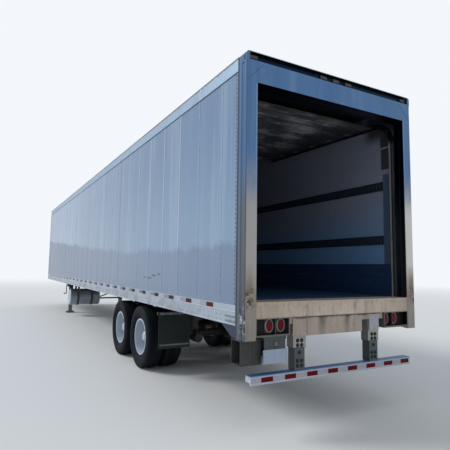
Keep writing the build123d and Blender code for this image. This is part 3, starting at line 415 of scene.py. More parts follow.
red_tape = tape("red_tape", (0.16, 0.0015, 0.004), (0.012, 0.007, 0.014), 2.4)
white_tape = tape("white_tape", (0.47, 0.44, 0.51), (0.17, 0.215, 0.245), 3.5)
tape_low, tape_high = 1.2385, 1.2905
tape_length, tape_pitch = 0.175, 0.6
for name, finish, shift in (("rail_tape_red", red_tape, 0.0), ("rail_tape_white", white_tape, 0.178)):
    forms = []
    for hand in (1, -1):
        face = sorted((hand * 1.2912, hand * 1.2921))
        for start in rear + 0.692 + shift + tape_pitch * np.arange(25):
            forms += slab((start, face[0], tape_low), (start + tape_length, face[1], tape_high))
    piece = assemble(name, forms, finish, False)
    soften(piece, 0.0003, 1)

# Top rails, roof and front frame. An extrusion clamps the roof sheet to each wall. The roof is
# one bonded aluminium sheet over foam, white liner below, and the nose frame is riveted on.
top = Finish("top_rail_metal", Metallic=0.6)
streak = top.patches(0.5, 0.75, 6, 6, (0.6, 1, 0.2))
top.base(top.cloud(2, 4, (0.2, 1, 1)), (0.26, 0.37, 0.5), (0.38, 0.49, 0.61))
top.lay(streak * 0.3, (0.15, 0.19, 0.25))
rust_edge = (top.z + top.cloud(22, 5) * 0.03).ramp(3.995, 4.012)
top.lay(rust_edge * 0.85, (0.09, 0.085, 0.075))
foot_line = abs(top.z - 3.846).ramp(0.007, 0.004) * top.x.ramp(8.0, 7.9)
top.lay(foot_line * 0.9, (0.04, 0.07, 0.12))
top.wear(top.cloud(8, 5, (0.1, 1, 1)), 0.3, 0.6)
top.relief(top.cloud(30, 3, (0.04, 1, 1)), 0.0006)
top.on("top_rail_left", "top_rail_right", "front_frame")
roof = Finish("roof_sheet")
over = roof.z.ramp(3.95, 3.96)
bow = abs((roof.x + 0.305) % 0.61 - 0.305).ramp(0.03, 0.022)
roof.base(roof.cloud(1.5, 6), (0.42, 0.46, 0.52), (0.55, 0.59, 0.64))
roof.lay(roof.patches(0.5, 0.75, 3, 8) * 0.45, (0.26, 0.26, 0.25))
lining = roof.blend(roof.cloud(4, 6), (0.5, 0.48, 0.45), (0.62, 0.6, 0.57))
# Painted shade: the lining nearest the door almost black.
lining = roof.blend(roof.ahead(1.5, 0.95) * 0.97, lining, (0.01, 0.011, 0.015))
roof.base(over, lining, roof.tone)
roof.wear(roof.cloud(6, 5), 0.3, 0.55)
roof.relief(bow * over * 0.8 + roof.cloud(1.4, 3) * 0.5, 0.004)
roof.on("roof")
nose = Finish("nose_sheet", Coat_Weight=0.3, Coat_Roughness=0.1)
nose.base(nose.cloud(2, 5, (1, 1, 0.2)), (0.28, 0.385, 0.51), (0.37, 0.47, 0.6))
nose.lay(nose.patches(0.62, 0.75, 20, 6) * 0.35, (0.3, 0.29, 0.28))
back = nose.blend(nose.cloud(3, 6), (0.47, 0.45, 0.43), (0.62, 0.6, 0.57))
nose.base(nose.x.ramp(8.0, 8.01), back, nose.tone)
nose.wear(nose.cloud(8), 0.28, 0.5)
lap = abs((nose.y + 0.3) % 0.6 - 0.3).ramp(0.02, 0.01)
nose.relief(lap * 0.4 + nose.cloud(3, 2, (1, 1, 0.2)) * 0.3, 0.003)
nose.on("front_wall")
nose_face = 8.0742
along = rear + np.arange(0.26, 16.0, 0.1)
forms = []
for hand in (1, -1):
    forms += stamp(rivet_dome, grid_of(along, hand * rail_face, (3.872, 3.99)), (0, hand, 0))
across = np.arange(-1.14, 1.15, 0.08)
for height in (1.3, 3.915):
    forms += stamp(rivet_dome, across[:, None] * (0, 1, 0) + (nose_face, 0, height), (1, 0, 0))
rise = np.arange(1.2, 3.95, 0.08)
for hand in (1, -1):
    forms += stamp(rivet_dome, rise[:, None] * (0, 0, 1) + (nose_face, hand * 1.205, 0), (1, 0, 0))
assemble("rail_rivets", forms, rivets)
box = Finish("coupling_metal", Metallic=0.5)
box.base(box.y.ramp(-0.05, 0.05), (0.35, 0.03, 0.03), (0.03, 0.07, 0.25))
box.base(box.x.ramp(8.012, 8.02), (0.16, 0.16, 0.17), box.tone)
box.lay(abs(box.y).ramp(0.12, 0.1), (0.05, 0.05, 0.055))
box.lay(box.cloud(30, 6) * 0.5, (0.2, 0.19, 0.17))
box.wear(box.cloud(30), 0.4, 0.7)
box.on("front_connectors")

# Floor and its beams. Laminated boards, painted in the dark blue of their shade, paler by the door where
# traffic rubs them, lie on aluminium I-beams that the road film has greyed.
deck = Finish("worn_deck", Specular_IOR_Level=0.15)
board = (deck.y + 2) % 0.152
gap = abs(board - 0.076).ramp(0.0735, 0.0752)
lane = deck.node("ShaderNodeTexWhiteNoise", {"noise_dimensions": "1D"}, {"W": deck.y - board})
deck.base(lane, (0.005, 0.026, 0.066), (0.013, 0.045, 0.105))
deck.lay(deck.cloud(14, 8, (0.06, 1, 1)) * 0.75, (0.022, 0.062, 0.13))
deck.lay((deck.x + deck.cloud(4) * 0.5).ramp(rear + 0.9, rear + 0.3) * 0.4, (0.13, 0.15, 0.18))
deck.lay(gap, (0.015, 0.014, 0.013))
deck.wear(deck.cloud(10, 6, (0.1, 1, 1)), 0.45, 0.75)
deck.relief(deck.cloud(40, 5, (0.04, 1, 1)) * 0.5 - gap, 0.0016)
deck.on("floor")
joists = mottled("road_film_beams", (0.16, 0.16, 0.165), (0.34, 0.34, 0.35), (4, 6), (12,), 0.5, 0.8,
                 Metallic=0.45)
rust = joists.patches(0.56, 0.66, 11, 8, rough=0.7)
joists.lay(rust * 0.5, (0.13, 0.075, 0.045))
joists.on("crossmembers")

# Rear frame. Folded stainless steel, welded at the corners with a diagonal brace. Its upper part
# is clean and cool, and traffic and weather have browned, stained and rusted its foot.
steel = Finish("stainless_frame", Metallic=0.85)
x, y, z = steel.x, steel.y, steel.z
side = abs(y)
clean = steel.blend(steel.cloud(3, 5, (1, 1, 0.08)), (0.052, 0.118, 0.245), (0.088, 0.18, 0.335))
pale = steel.patches(0.5, 0.75, 5, 4, (1, 1, 0.1))
clean = steel.blend(pale * 0.25, clean, (0.19, 0.28, 0.45))
# The posts' side faces are painted darker than their rear faces, as painted shade.
flank = side.ramp(1.285, 1.289)
clean = steel.blend(flank * 0.5, clean, (0.05, 0.11, 0.22))
# A painted highlight along the posts' inner edges.
lip_highlight = steel.ahead(0.004, 0.002) * abs(side - 1.166).ramp(0.009, 0.004)
lip_highlight = lip_highlight * z.ramp(3.68, 3.66)
clean = steel.blend(lip_highlight * 0.3, clean, (0.36, 0.46, 0.6))
soiled = steel.blend(steel.cloud(7, 7, (1, 1, 0.12)), (0.42, 0.34, 0.275), (0.7, 0.58, 0.48))
foot = side.ramp(1.155, 1.158)
soil = (z + steel.cloud(2.5, 5) * 0.7 + y * 0.15).ramp(3.15, 1.85)
upright = steel.blend(steel.cloud(5, 6, (1, 1, 0.15)), (0.37, 0.335, 0.31), (0.5, 0.455, 0.415))
heel = steel.blend(steel.cloud(6, 7, (1, 1, 0.3)), (0.22, 0.2, 0.18), (0.4, 0.36, 0.315))
upright = steel.blend((z + steel.cloud(5, 6) * 0.3).ramp(1.85, 1.45), upright, heel)
rubbed = y.ramp(-1.15, -1.16) * z.ramp(1.5, 1.8) * z.ramp(2.9, 2.4)
upright = steel.blend(rubbed * 0.6, upright, (0.9, 0.88, 0.82))
soiled = steel.blend(foot, soiled, upright)
# Painted shade: the foot's side faces darker still.
soiled = steel.blend(flank * 0.9, soiled, (0.06, 0.078, 0.1))
soil = soil + (z + steel.cloud(2.5, 5) * 0.7).ramp(3.35, 2.55) * foot * (1 - soil) * 0.8
steel.base(soil, clean, soiled)
# Painted highlights along the folds of the side faces.
crease_highlight = abs(x - rear - 0.128).ramp(0.012, 0.006)
crease_highlight = crease_highlight + abs(x - rear - 0.034).ramp(0.014, 0.008) * 0.6
steel.lay(flank * crease_highlight * 0.14, (0.3, 0.4, 0.5))
# Painted shade on the forward strip of the side faces, at the posts' front flange.
steel.lay(flank * steel.ahead(0.148, 0.154) * 0.85, (0.025, 0.04, 0.07))
outer = side.ramp(1.17, 1.22) * foot * (1 - flank)
brown = (abs(z - 1.47) + steel.cloud(9, 7, (1, 1, 0.3), 0.65) * 0.4).ramp(0.5, 0.2) * outer
steel.lay(brown * 0.6, (0.2, 0.135, 0.09))
low = z.ramp(1.36, 1.28) * (1 - foot)
run = (steel.cloud(11, 6, (1, 1, 0.16), 0.65) + steel.cloud(2.2, 3) * 0.35).ramp(0.72, 0.92)
steel.lay(run * low * 0.55, (0.17, 0.135, 0.115))
fine = steel.patches(0.55, 0.68, 34, 5, (1, 1, 0.07), 0.6) * low
steel.lay(fine * 0.35, (0.2, 0.165, 0.145))
below_edge = z.ramp(1.176, 1.172)
sheet_edge = abs(y - 0.483).ramp(0.0065, 0.004) * below_edge
steel.lay(sheet_edge * 0.8, (0.06, 0.05, 0.05))
blot = steel.patches(0.5, 0.68, 5.5, 8, (1, 1, 0.8), 0.7) * low
steel.lay(blot * 0.3, (0.75, 0.66, 0.57))
dull = z.ramp(1.19, 1.17) * 0.3 + abs(y + 0.1).ramp(0.35, 1.1) * 0.2
steel.lay(dull * low, (0.12, 0.1, 0.09))
smear = (abs(abs(y - 0.0745) - 0.1945) + steel.cloud(7, 5, (1, 1, 0.3)) * 0.11).ramp(0.14, 0.04)
drop = z.ramp(0.97, 1.17)
steel.lay(smear * below_edge * (drop * 0.45 + 0.35), (0.06, 0.055, 0.055))
# Painted shadow under the sill's edge, along the top of the middle panel.
cap = (z + steel.cloud(12, 6) * 0.06).ramp(1.175, 1.2) * below_edge
steel.lay(cap * side.ramp(0.68, 0.66) * 0.8, (0.03, 0.028, 0.028))
patch = (abs(z - 1.38) + steel.cloud(9, 5) * 0.12).ramp(0.19, 0.12)
cream = steel.patches(0.55, 0.62, 42, 6, rough=0.7)
steel.lay(cream * patch * outer * 0.7, (0.75, 0.68, 0.52))
pits = steel.patches(0.47, 0.56, 24, 8, rough=0.75)
steel.lay(pits * patch * (outer * 0.8 + 0.2), (0.07, 0.042, 0.025))
blush = (abs(z - 1.24) + steel.cloud(12, 5, (1, 1, 0.3)) * 0.1).ramp(0.12, 0.06)
blush = blush * foot * (1 - flank)
steel.lay(blush * steel.patches(0.45, 0.6, 30, 5, (1, 1, 0.12)) * 0.5, (0.42, 0.23, 0.2))
streaky = steel.patches(0.5, 0.64, 36, 5, (1, 1, 0.08), 0.65) * z.ramp(1.3, 1.2)
streaky = streaky * foot * (1 - flank)
steel.lay(streaky * 0.35, (0.16, 0.13, 0.11))
nick = steel.patches(0.47, 0.54, 26, 7, rough=0.75) * abs(z - 1.15).ramp(0.17, 0.08) * flank
nick = nick * steel.ahead(0.12, 0.08)
bared = steel.blend(steel.patches(0.46, 0.54, 19, 4), (0.45, 0.5, 0.52), (0.03, 0.03, 0.035))
steel.lay(nick * 0.85, bared)
slant = side + z
seam = abs(abs(slant - 4.9085) - 0.07).ramp(0.006, 0.003) * abs(z - 3.795).ramp(0.109, 0.107)
seam = seam * steel.ahead(0.01, 0.006) * side.ramp(0.9, 0.92)
steel.lay(seam * 0.75, (0.04, 0.06, 0.1))
trough = steel.ahead(0.02, 0.034) * z.ramp(3.918, 3.928)
trough = trough * steel.ahead(0.07, 0.05)
# A painted highlight on the trough's top face and lip.
brim_highlight = z.ramp(4.0132, 4.0142) * steel.ahead(0.06, 0.05)
lamp_rust = abs(side - 0.28).ramp(0.06, 0.03) * 0.3
flakes = (steel.cloud(17, 8, rough=0.7) + lamp_rust).ramp(0.55, 0.72)
steel.lay(trough, steel.blend(flakes, (0.008, 0.017, 0.034), (0.1, 0.06, 0.045)))
steel.lay(brim_highlight * 0.95, (0.5, 0.56, 0.56))
# Painted shade: the jambs, the posts' inner faces, nearly black.
jamb = steel.ahead(0.004, 0.01) * side.ramp(1.235, 1.22)
jamb = jamb * z.ramp(1.342, 1.346)
steel.lay(jamb * 0.95, (0.006, 0.014, 0.03))
steel.lay(jamb * abs(x - rear - 0.1).ramp(0.016, 0.008) * 0.6, (0.12, 0.13, 0.15))
bay = abs(side - 0.941).ramp(0.2085, 0.2075) * abs(z - 1.085).ramp(0.0835, 0.0825)
shell = abs(side - 0.9335).ramp(0.2215, 0.2205) * z.ramp(1.1745, 1.1735) - bay
steel.lay(shell * 0.85, steel.blend(steel.cloud(12, 5), (0.05, 0.06, 0.06), (0.13, 0.15, 0.145)))
# Painted shade: the lamp bays nearly black inside, with two lighter lines.
bay = bay * steel.ahead(0.003, 0.008)
inward, outward = (abs(side - place).ramp(0.0055, 0.0045) for place in (0.734, 0.893))
steel.lay(bay * 0.95, steel.blend(inward + outward, (0.009, 0.01, 0.014), (0.08, 0.1, 0.1)))
bare = 0.85 - soil * 0.45 - trough * 0.2
steel.feed("Metallic", bare + (1 - bare) * (bay + jamb))
steel.wear(soil * 0.7 + steel.cloud(30, 4, (1, 1, 0.05)) * 0.3, 0.26, 0.62)
brushed = steel.cloud(9, 3, (1, 1, 0.15)) * 0.5 + steel.cloud(220, 2, (1, 1, 0.02)) * 0.05
steel.relief(brushed - pits * patch * 0.4, 0.0022)
steel.on("rear_post_left", "rear_post_right", "rear_header", "rear_sill")
weld = mottled("weld_beads", (0.1, 0.11, 0.13), (0.3, 0.33, 0.38), (90, 4), (60,), 0.4, 0.7, Metallic=0.6)


def bead(start, end, radius, rings=60, sides=8):
    """A weld along a line in overlapping ripples: r = radius (0.8 + 0.25 |sin(t rings / 2)|), capped."""
    start, end = np.array(start, float), np.array(end, float)
    along = np.linspace(0, 1, rings)
    swell = radius * (0.8 + 0.25 * np.abs(np.sin(along * rings * 0.5)))
    form = turned(np.stack([swell, along * np.linalg.norm(end - start)], 1), sides)
    return stamp(form, [start], (end - start) / np.linalg.norm(end - start))


sill_middle = 1.09
forms = []
for hand in (1, -1):
    forms += bead((rear + 0.001, hand * 1.155, 3.6835), (rear + 0.001, hand * 0.936, 3.9025), 0.0028)
    forms += bead((rear + 0.001, hand * 1.1555, 1.178), (rear + 0.001, hand * 1.1555, 1.34), 0.003)
    start = np.array((rear + 0.01, hand * 1.294, sill_middle))
    forms += bead(start, start + (0.175, 0, 0), 0.0022)
assemble("frame_welds", forms, weld)
# The dark sealant strip where each wall meets its rear post also stands in for the shade at the post's
# front flange.
sealant_and_shade = mottled("joint_sealant", (0.012, 0.018, 0.03), (0.04, 0.055, 0.08), (40, 5), (30,), 0.6, 0.8)
forms = []
for hand in (1, -1):
    face = sorted((hand * 1.2885, hand * 1.2925))
    forms += slab((rear + 0.1835, face[0], 1.31), (rear + 0.188, face[1], 3.84))
assemble("post_sealant", forms, sealant_and_shade, False)

# Lamps. Four upright oval sealed lamps, two to a bay of the sill, each in a pale grommet on a pressed
# plate. Small marker lamps sit in the header's trough and on the bottom rails.
lens = Finish("lamp_lens", Coat_Weight=0.06, Coat_Roughness=0.12, Specular_IOR_Level=0.15)
inboard, outboard = 0.806, 0.955
aside = (abs(abs(lens.y) - (inboard + outboard) / 2) - (outboard - inboard) / 2) / 0.0385
height = (lens.z - sill_middle) / 0.0585
glass = (aside * aside + height * height).ramp(1.06, 1.0)
prism = lens.node("ShaderNodeTexVoronoi", {"distance": "CHEBYCHEV"}, {"Vector": lens.place, "Scale": 170})
red = lens.blend(prism, (0.2, 0.001, 0.005), (0.05, 0.0, 0.002))
lens.base(glass, (0.33, 0.31, 0.31), red)
lens.wear(glass * -0.3 + lens.cloud(30) * 0.2, 0.5, 0.95)
lens.relief(prism * glass, 0.0012)
lens.on("tail_lamps")
plate = mottled("lamp_plates", (0.03, 0.033, 0.034), (0.075, 0.08, 0.08), (14, 6), (20,), 0.45, 0.7,
                Metallic=0.5)
plate.lay(plate.patches(0.55, 0.7, 30, 6) * 0.5, (0.12, 0.08, 0.06))


def dished_plate(centre, half, depth, hole):
    """A plate with an oval hole, in polar rows: each goes from the oval (a cos t, b sin t) to the rounded
    rectangle |y/a|^6 + |z/b|^6 = 1, and its rim turns back by the depth."""
    angle = np.arange(64) * 2 * np.pi / 64
    corner = (np.abs(np.cos(angle)) ** 6 + np.abs(np.sin(angle)) ** 6) ** (-1 / 6)
    share = np.array([0, 0, 0.5, 0.9, 1.0, 1.0, 1.0, 0])[:, None]
    level = np.array([-depth, 0, 0, 0, -0.15 * depth, -depth, -depth, -depth])
    y, z = (inner + (outer * corner - inner) * share for inner, outer in zip(hole, half))
    points = np.stack([np.broadcast_to(level[:, None], y.shape), y * np.cos(angle), z * np.sin(angle)], 2)
    return [(points.reshape(-1, 3) * (-1, 1, 1) + centre, woven(8, 64)[:, [0, 3, 2, 1]])]


forms = []
for hand in (1, -1):
    for place, half in ((inboard, 0.0605), (outboard, 0.0572)):
        centre = (rear + 0.0615, hand * place, sill_middle)
        forms += dished_plate(centre, (half, 0.0755), 0.005, (0.0535, 0.0685))
assemble("lamp_plates", forms, plate)
marker = Finish("marker_lens", Coat_Weight=0.1, Coat_Roughness=0.2)
front_side = marker.ahead(0.2, 0.4)
marker.base(front_side, (0.03, 0.01, 0.012), (0.4, 0.12, 0.02))
grit = marker.patches(0.46, 0.56, 38, 5) * (0.9 - front_side * 0.5)
middle = abs(marker.y).ramp(0.1, 0.08) * 0.35 + 0.45
marker.lay(grit * middle, (0.09, 0.055, 0.042))
marker.wear(marker.cloud(30), 0.25, 0.5)
marker.relief(abs((marker.y + marker.x) % 0.008 - 0.004).ramp(0.003, 0.001), 0.0006)
marker.on("marker_lamps")

# Rear guard. Two galvanised channel posts hang from the sill, bolted through in fours, and carry
# a white beam with alternate red blocks of tape.
hung = Finish("guard_post_steel", Metallic=0.3)
upper = hung.z.ramp(0.838, 0.842)
hung.base(upper, (0.075, 0.094, 0.1), (0.45, 0.43, 0.4))
hung.lay(hung.cloud(6, 5, (1, 1, 0.3)) * 0.4, (0.13, 0.145, 0.15))
post_middle = 0.566
rim = abs(abs(abs(hung.y) - post_middle) - 0.076).ramp(0.006, 0.002) * 0.5
hung.lay(rim, (0.24, 0.25, 0.25))
# A dark line where the upper plate ends, and painted shade on the channels' side faces.
edge = abs(hung.z - 0.84).ramp(0.005, 0.003) + hung.ahead(0.037, 0.042) * 0.8
hung.lay(edge * 0.9, (0.016, 0.022, 0.032))
hung.lay(hung.patches(0.62, 0.7, 17, 8, rough=0.7) * 0.4, (0.12, 0.075, 0.05))
hung.wear(hung.cloud(14), 0.45, 0.7)
hung.relief(hung.cloud(50, 4), 0.0003)
hung.on("guard_posts")
hex_bolt = turned([(0.0165, -0.001), (0.0165, 0.0125), (0.0145, 0.0145)], 6)
washer = turned([(0.022, -0.001), (0.0225, 0.0015), (0.022, 0.003), (0.013, 0.003)], 18)
black = mottled("guard_bolts", (0.012, 0.014, 0.016), (0.05, 0.05, 0.05), (50,), (30,), 0.4, 0.6,
                Metallic=0.5)
forms = []
for hand in (1, -1):
    middle = np.array((rear + 0.035, hand * post_middle, 0))
    spots = [middle + (0, y, z) for y in (-0.028, 0.028) for z in (0.917, 0.867, 0.702, 0.649)]
    spots += [middle + (0, 0, 0.79)]
    forms += stamp(washer, spots, (-1, 0, 0)) + stamp(hex_bolt, spots, (-1, 0, 0))
assemble("guard_bolts", forms, black)
beam = mottled("beam_paint", (0.4, 0.44, 0.52), (0.54, 0.57, 0.64), (6, 6), (14,), 0.35, 0.6,
               Coat_Roughness=0.3, Specular_IOR_Level=0.2)
# Painted sky light: the beam's top face and upper edge blue on the white paint.
beam.lay(beam.z.ramp(0.594, 0.5985) * 0.95, (0.03, 0.15, 0.36))
beam.lay(beam.z.ramp(0.585, 0.592) * 0.4, (0.12, 0.25, 0.5))
chip = beam.patches(0.6, 0.66, 34, 8, rough=0.7)
beam.lay(chip * 0.8, (0.14, 0.08, 0.05))
beam.relief(1 - chip, 0.0005)
beam.on("guard_beam")
for name, finish, shift in (("beam_tape_red", red_tape, 0.0), ("beam_tape_white", white_tape, 0.15)):
    forms = []
    for start in -1.176 + shift + 0.3 * np.arange(8):
        forms += slab((rear + 0.0232, start, 0.529), (rear + 0.0245, min(start + 0.148, 1.194), 0.579))
    soften(assemble(name, forms, finish, False), 0.0003, 1)

# Small rear pieces. A blank white registration plate on its bracket with a dome lamp, a blank
# plate riveted to the right guard post, and the open box below the road-side post.
bracket = Finish("plate_bracket_paint")
face = bracket.ahead(0.0046, 0.0035) * bracket.z.ramp(0.8555, 0.8545)
bracket.base(bracket.cloud(12, 6), (0.03, 0.04, 0.045), (0.06, 0.075, 0.08))
sheet = bracket.blend(bracket.patches(0.5, 0.75, 22, 6) * 0.4, (0.34, 0.4, 0.51), (0.2, 0.22, 0.28))
plate_middle = 0.915
rim = abs(bracket.y - plate_middle).ramp(0.138, 0.142) * 0.6
lamp_y, lamp_z = 0.903, 0.908
across, above = bracket.y - lamp_y, bracket.z - lamp_z
to_lamp = across * across + above * above
dome = to_lamp.ramp(0.00078, 0.0006)
bracket.lay(dome, bracket.blend(bracket.cloud(60, 4), (0.03, 0.045, 0.03), (0.16, 0.19, 0.14)))
bracket.lay(face, bracket.blend(rim, sheet, (0.2, 0.24, 0.33)))
bracket.wear(bracket.cloud(14), 0.3, 0.6)
bracket.on("plate_bracket")
lamp_skirt = turned([(0.041, -0.0005), (0.0385, 0.0022), (0.033, 0.0036), (0.0262, 0.0042)], 28)
forms = stamp(lamp_skirt, [(rear + 0.005, lamp_y, lamp_z)], (-1, 0, 0))
assemble("plate_lamp_skirt", forms, plate)
enamel = mottled("blank_enamel", (0.3, 0.32, 0.35), (0.46, 0.47, 0.49), (14, 6), (20,), 0.3, 0.55,
                 Coat_Weight=0.2, Coat_Roughness=0.2)
enamel.lay(enamel.patches(0.54, 0.7, 22, 7) * 0.5, (0.16, 0.14, 0.13))
forms = slab((rear + 0.0192, -0.646, 0.966), (rear + 0.0222, -0.486, 1.157))
soften(assemble("post_plate", forms, enamel, False), 0.0006)
box = mottled("box_steel", (0.03, 0.029, 0.028), (0.07, 0.068, 0.065), (5, 7, (1, 1, 0.3)), (14,), 0.45,
              0.75, Metallic=0.3)
box.lay(box.patches(0.48, 0.64, 14, 5, (1, 1, 0.08)) * 0.75, (0.025, 0.024, 0.023))
box.lay(box.ahead(0.077, 0.09) * 0.75, (0.04, 0.042, 0.045))
box.on("step_box")
screw = turned([(0.006, -0.001), (0.006, 0.0015), (0.003, 0.003)], 10)
corners = [(rear + 0.0031, plate_middle + y, 0.7775 + z) for y in (-0.089, 0.089) for z in (-0.058, 0.058)]
assemble("plate_screws", stamp(screw, corners, (-1, 0, 0)), bolt)

# Door gear. A roll-up door of hinged, ribbed panels stowed below the roof in two zinc tracks,
# with a sprung balancer shaft behind the header.
door = Finish("door_panels")
door.base(door.patches(0.4, 0.62, 4.5, 8, (1, 0.45, 1), 0.65), (0.07, 0.075, 0.09), (0.42, 0.42, 0.43))
smear = door.patches(0.46, 0.58, 1.7, 8, (1, 0.6, 1), 0.65)
door.lay(smear * 0.75, (0.035, 0.035, 0.04))
shade = (door.y + door.x * 0.12).ramp(-1.3, -1.75)
door.lay(shade * 0.85, (0.008, 0.008, 0.012))
first_panel, panel_pitch = 0.56, 0.41
along = abs((door.x - rear - first_panel) % panel_pitch - panel_pitch / 2)
groove = abs(abs(along - 0.0995) - 0.0505).ramp(0.013, 0.006)
groove = groove + abs(along - panel_pitch / 2).ramp(0.012, 0.006)
door.lay(groove * 0.65, (0.03, 0.027, 0.027))
lath = abs(door.y % 0.46 - 0.23).ramp(0.014, 0.008)
door.lay(lath * 0.6, (0.035, 0.032, 0.03))
door.wear(door.cloud(9), 0.45, 0.75)
door.relief(door.cloud(16, 4), 0.0015)
door.on("overhead_door")
# The tracks are painted dark, as the shade inside the body.
track = mottled("zinc_track", (0.035, 0.04, 0.045), (0.09, 0.095, 0.1), (9, 6, (1, 1, 0.15)), (16, 4), 0.32,
                0.62)
upright = track.z.ramp(3.5, 3.4)
# Painted light: the near leg of each track lighter.
near_leg = track.ahead(0.2005, 0.1995) * upright
track.lay(near_leg * track.cloud(9, 6, (1, 1, 0.1)) * 1.2, (0.32, 0.345, 0.39))
rust = track.patches(0.54, 0.66, 14, 8, (1, 1, 0.2), 0.7)
track.lay(rust * (upright * 0.25 + 0.3), (0.11, 0.065, 0.045))
# A painted highlight: a thin near-white line along the tracks' edge.
edge = abs(track.x - rear - 0.2575).ramp(0.0021, 0.0017) * abs(track.y).ramp(1.214, 1.209)
track.lay(edge * upright * 0.95, (0.95, 0.92, 0.9))
coil = abs(track.y % 0.011 - 0.0055).ramp(0.004, 0.0015)
# Above the header's lower edge the balancer is painted nearly black as shade, with its coil in dark
# stripes.
hidden = track.z.ramp(3.834, 3.838)
track.lay(hidden * 0.93, track.blend(coil, (0.1, 0.095, 0.095), (0.012, 0.012, 0.014)))
# Painted shade on the tracks' curve and their run below the roof.
curve = track.z.ramp(3.42, 3.5) * (1 - hidden)
track.lay(curve * 0.75, (0.008, 0.009, 0.012))
track.feed("Metallic", 0.8 - hidden * 0.6)
wound = coil * track.ahead(0.262, 0.266)
track.relief(wound * track.ahead(0.345, 0.34), 0.003)
track.on("door_balancer", "door_track_left", "door_track_right")
hinge = mottled("hinge_plates", (0.12, 0.11, 0.1), (0.3, 0.28, 0.26), (20, 6), (20,), 0.4, 0.65,
                Metallic=0.7)
hinge_pin = turned([(0.006, -0.032), (0.006, 0.032)], 10)
track_start, track_end = 0.513, 3.103
slope = 0.062 / (track_end - track_start)
forms = []
for joint in first_panel + 0.403 + panel_pitch * np.arange(5):
    level = 3.741 + slope * (joint - track_start)
    for y in np.linspace(-1.1, 1.1, 5):
        middle = np.array((rear + joint, y, level))
        forms += slab(middle - (0.035, 0.03, 0.0172), middle + (0.035, 0.03, -0.0138))
        forms += stamp(hinge_pin, [middle - (0, 0, 0.0165)], (0, 1, 0))
assemble("door_hinges", forms, hinge, False)

# Inside walls. Slotted steel cargo tracks and dark scuff lining on both walls, with two blank dark
# boards by the right door track.
slots = Finish("cargo_track_steel", Metallic=0.65)
bar = abs((slots.x - rear + 0.0336) % 0.052 - 0.026)
slot_z = abs(abs(slots.z - 2.485) - 0.38)
inner = abs(slots.y).ramp(1.2185, 1.2175)
mouth = bar.ramp(0.0065, 0.0085) * slot_z.ramp(0.04, 0.037)
slots.base(slots.cloud(8, 6, (0.2, 1, 1)), (0.02, 0.035, 0.06), (0.045, 0.065, 0.1))
worn = bar.ramp(0.0085, 0.0065) * slot_z.ramp(0.04, 0.037) * inner
slots.lay(worn, slots.blend(slots.cloud(14, 4), (0.2, 0.27, 0.36), (0.42, 0.5, 0.6)))
slots.lay(mouth * inner, (0.002, 0.004, 0.009))
slots.wear(slots.cloud(14), 0.38, 0.62)
slots.relief((1 - mouth) * inner, 0.006)
slots.on("cargo_tracks")
scuff = mottled("scuff_lining", (0.006, 0.026, 0.085), (0.018, 0.05, 0.125), (3, 7, (0.3, 1, 1)), (9,), 0.4,
                0.65)
strip = scuff.z.ramp(1.773, 1.776)
scuff.lay(strip * 0.7, (0.09, 0.13, 0.18))
rubbed = scuff.patches(0.6, 0.72, 12, 7, (0.1, 1, 1)) * (1 - strip)
scuff.lay(rubbed * 0.35, (0.1, 0.12, 0.15))
scuff.relief(abs((scuff.z - 1.3) % 0.09 - 0.045).ramp(0.03, 0.02) * (1 - strip), 0.002)
scuff.on("scuff_bands")
boards = mottled("blank_boards", (0.02, 0.022, 0.03), (0.06, 0.06, 0.07), (14, 5), (20,), 0.35, 0.6)
forms = slab((rear + 0.307, -1.2292, 3.423), (rear + 0.439, -1.2262, 3.66))
forms += slab((rear + 0.268, -1.2292, 3.101), (rear + 0.43, -1.2262, 3.395))
soften(assemble("wall_boards", forms, boards, False), 0.0008)

# Chassis steel. Greased coupler plate, landing legs with their bracing, and the sliding tandem's frame,
# springs and axles: black paint under road dust, rust at the edges. Slide rails and rams are zinc coated.
chassis = mottled("chassis_black", (0.022, 0.022, 0.025), (0.055, 0.054, 0.054), (4, 6), (12,), 0.42, 0.75,
                  Metallic=0.2)
dust = chassis.patches(0.46, 0.72, 2.6, 8, rough=0.65)
chassis.lay(dust * 0.5, (0.15, 0.135, 0.12))
rust = chassis.patches(0.57, 0.66, 19, 8, rough=0.75)
chassis.lay(rust * 0.75, (0.12, 0.05, 0.025))
chassis.relief(rust * 0.5 + chassis.cloud(60, 3) * 0.3, 0.0009)
chassis.on("landing_leg_left", "landing_leg_right", "leg_bracing", "tank_straps", "bogie_frame", "axles")
zinc = Finish("galvanised_steel", Metallic=0.45)
flower = zinc.node("ShaderNodeTexVoronoi", {}, {"Vector": zinc.place, "Scale": 45}, "Color")
spangle = zinc.node("ShaderNodeSeparateColor", {}, {0: flower})
zinc.base(spangle, (0.16, 0.17, 0.175), (0.2, 0.21, 0.215))
zinc.lay(zinc.patches(0.45, 0.75, 5, 7) * 0.5, (0.1, 0.095, 0.09))
rust = zinc.patches(0.6, 0.7, 14, 8, rough=0.7)
zinc.lay(rust * 0.6, (0.13, 0.075, 0.045))
zinc.wear(zinc.cloud(14), 0.42, 0.72)
zinc.relief(zinc.cloud(50, 4), 0.0003)
zinc.on("slide_rails", "leg_ram_left", "leg_ram_right")
grease = Finish("greased_coupler", Metallic=0.7)
kingpin_x = 7.163
along = grease.x - kingpin_x
ring = along * along + grease.y * grease.y
polish = (ring + grease.cloud(6, 6) * 0.15).ramp(0.38, 0.16)
grease.base(polish, (0.05, 0.047, 0.045), (0.28, 0.27, 0.26))
grease.lay(grease.patches(0.5, 0.7, 5, 8) * 0.8, (0.02, 0.017, 0.013))
grease.wear(grease.cloud(8), 0.22, 0.6)
grease.on("coupler_plate")
leaves = Finish("spring_leaves", Metallic=0.3)
leaves.base(leaves.cloud(9, 6, (0.3, 1, 1)), (0.03, 0.03, 0.032), (0.09, 0.085, 0.08))
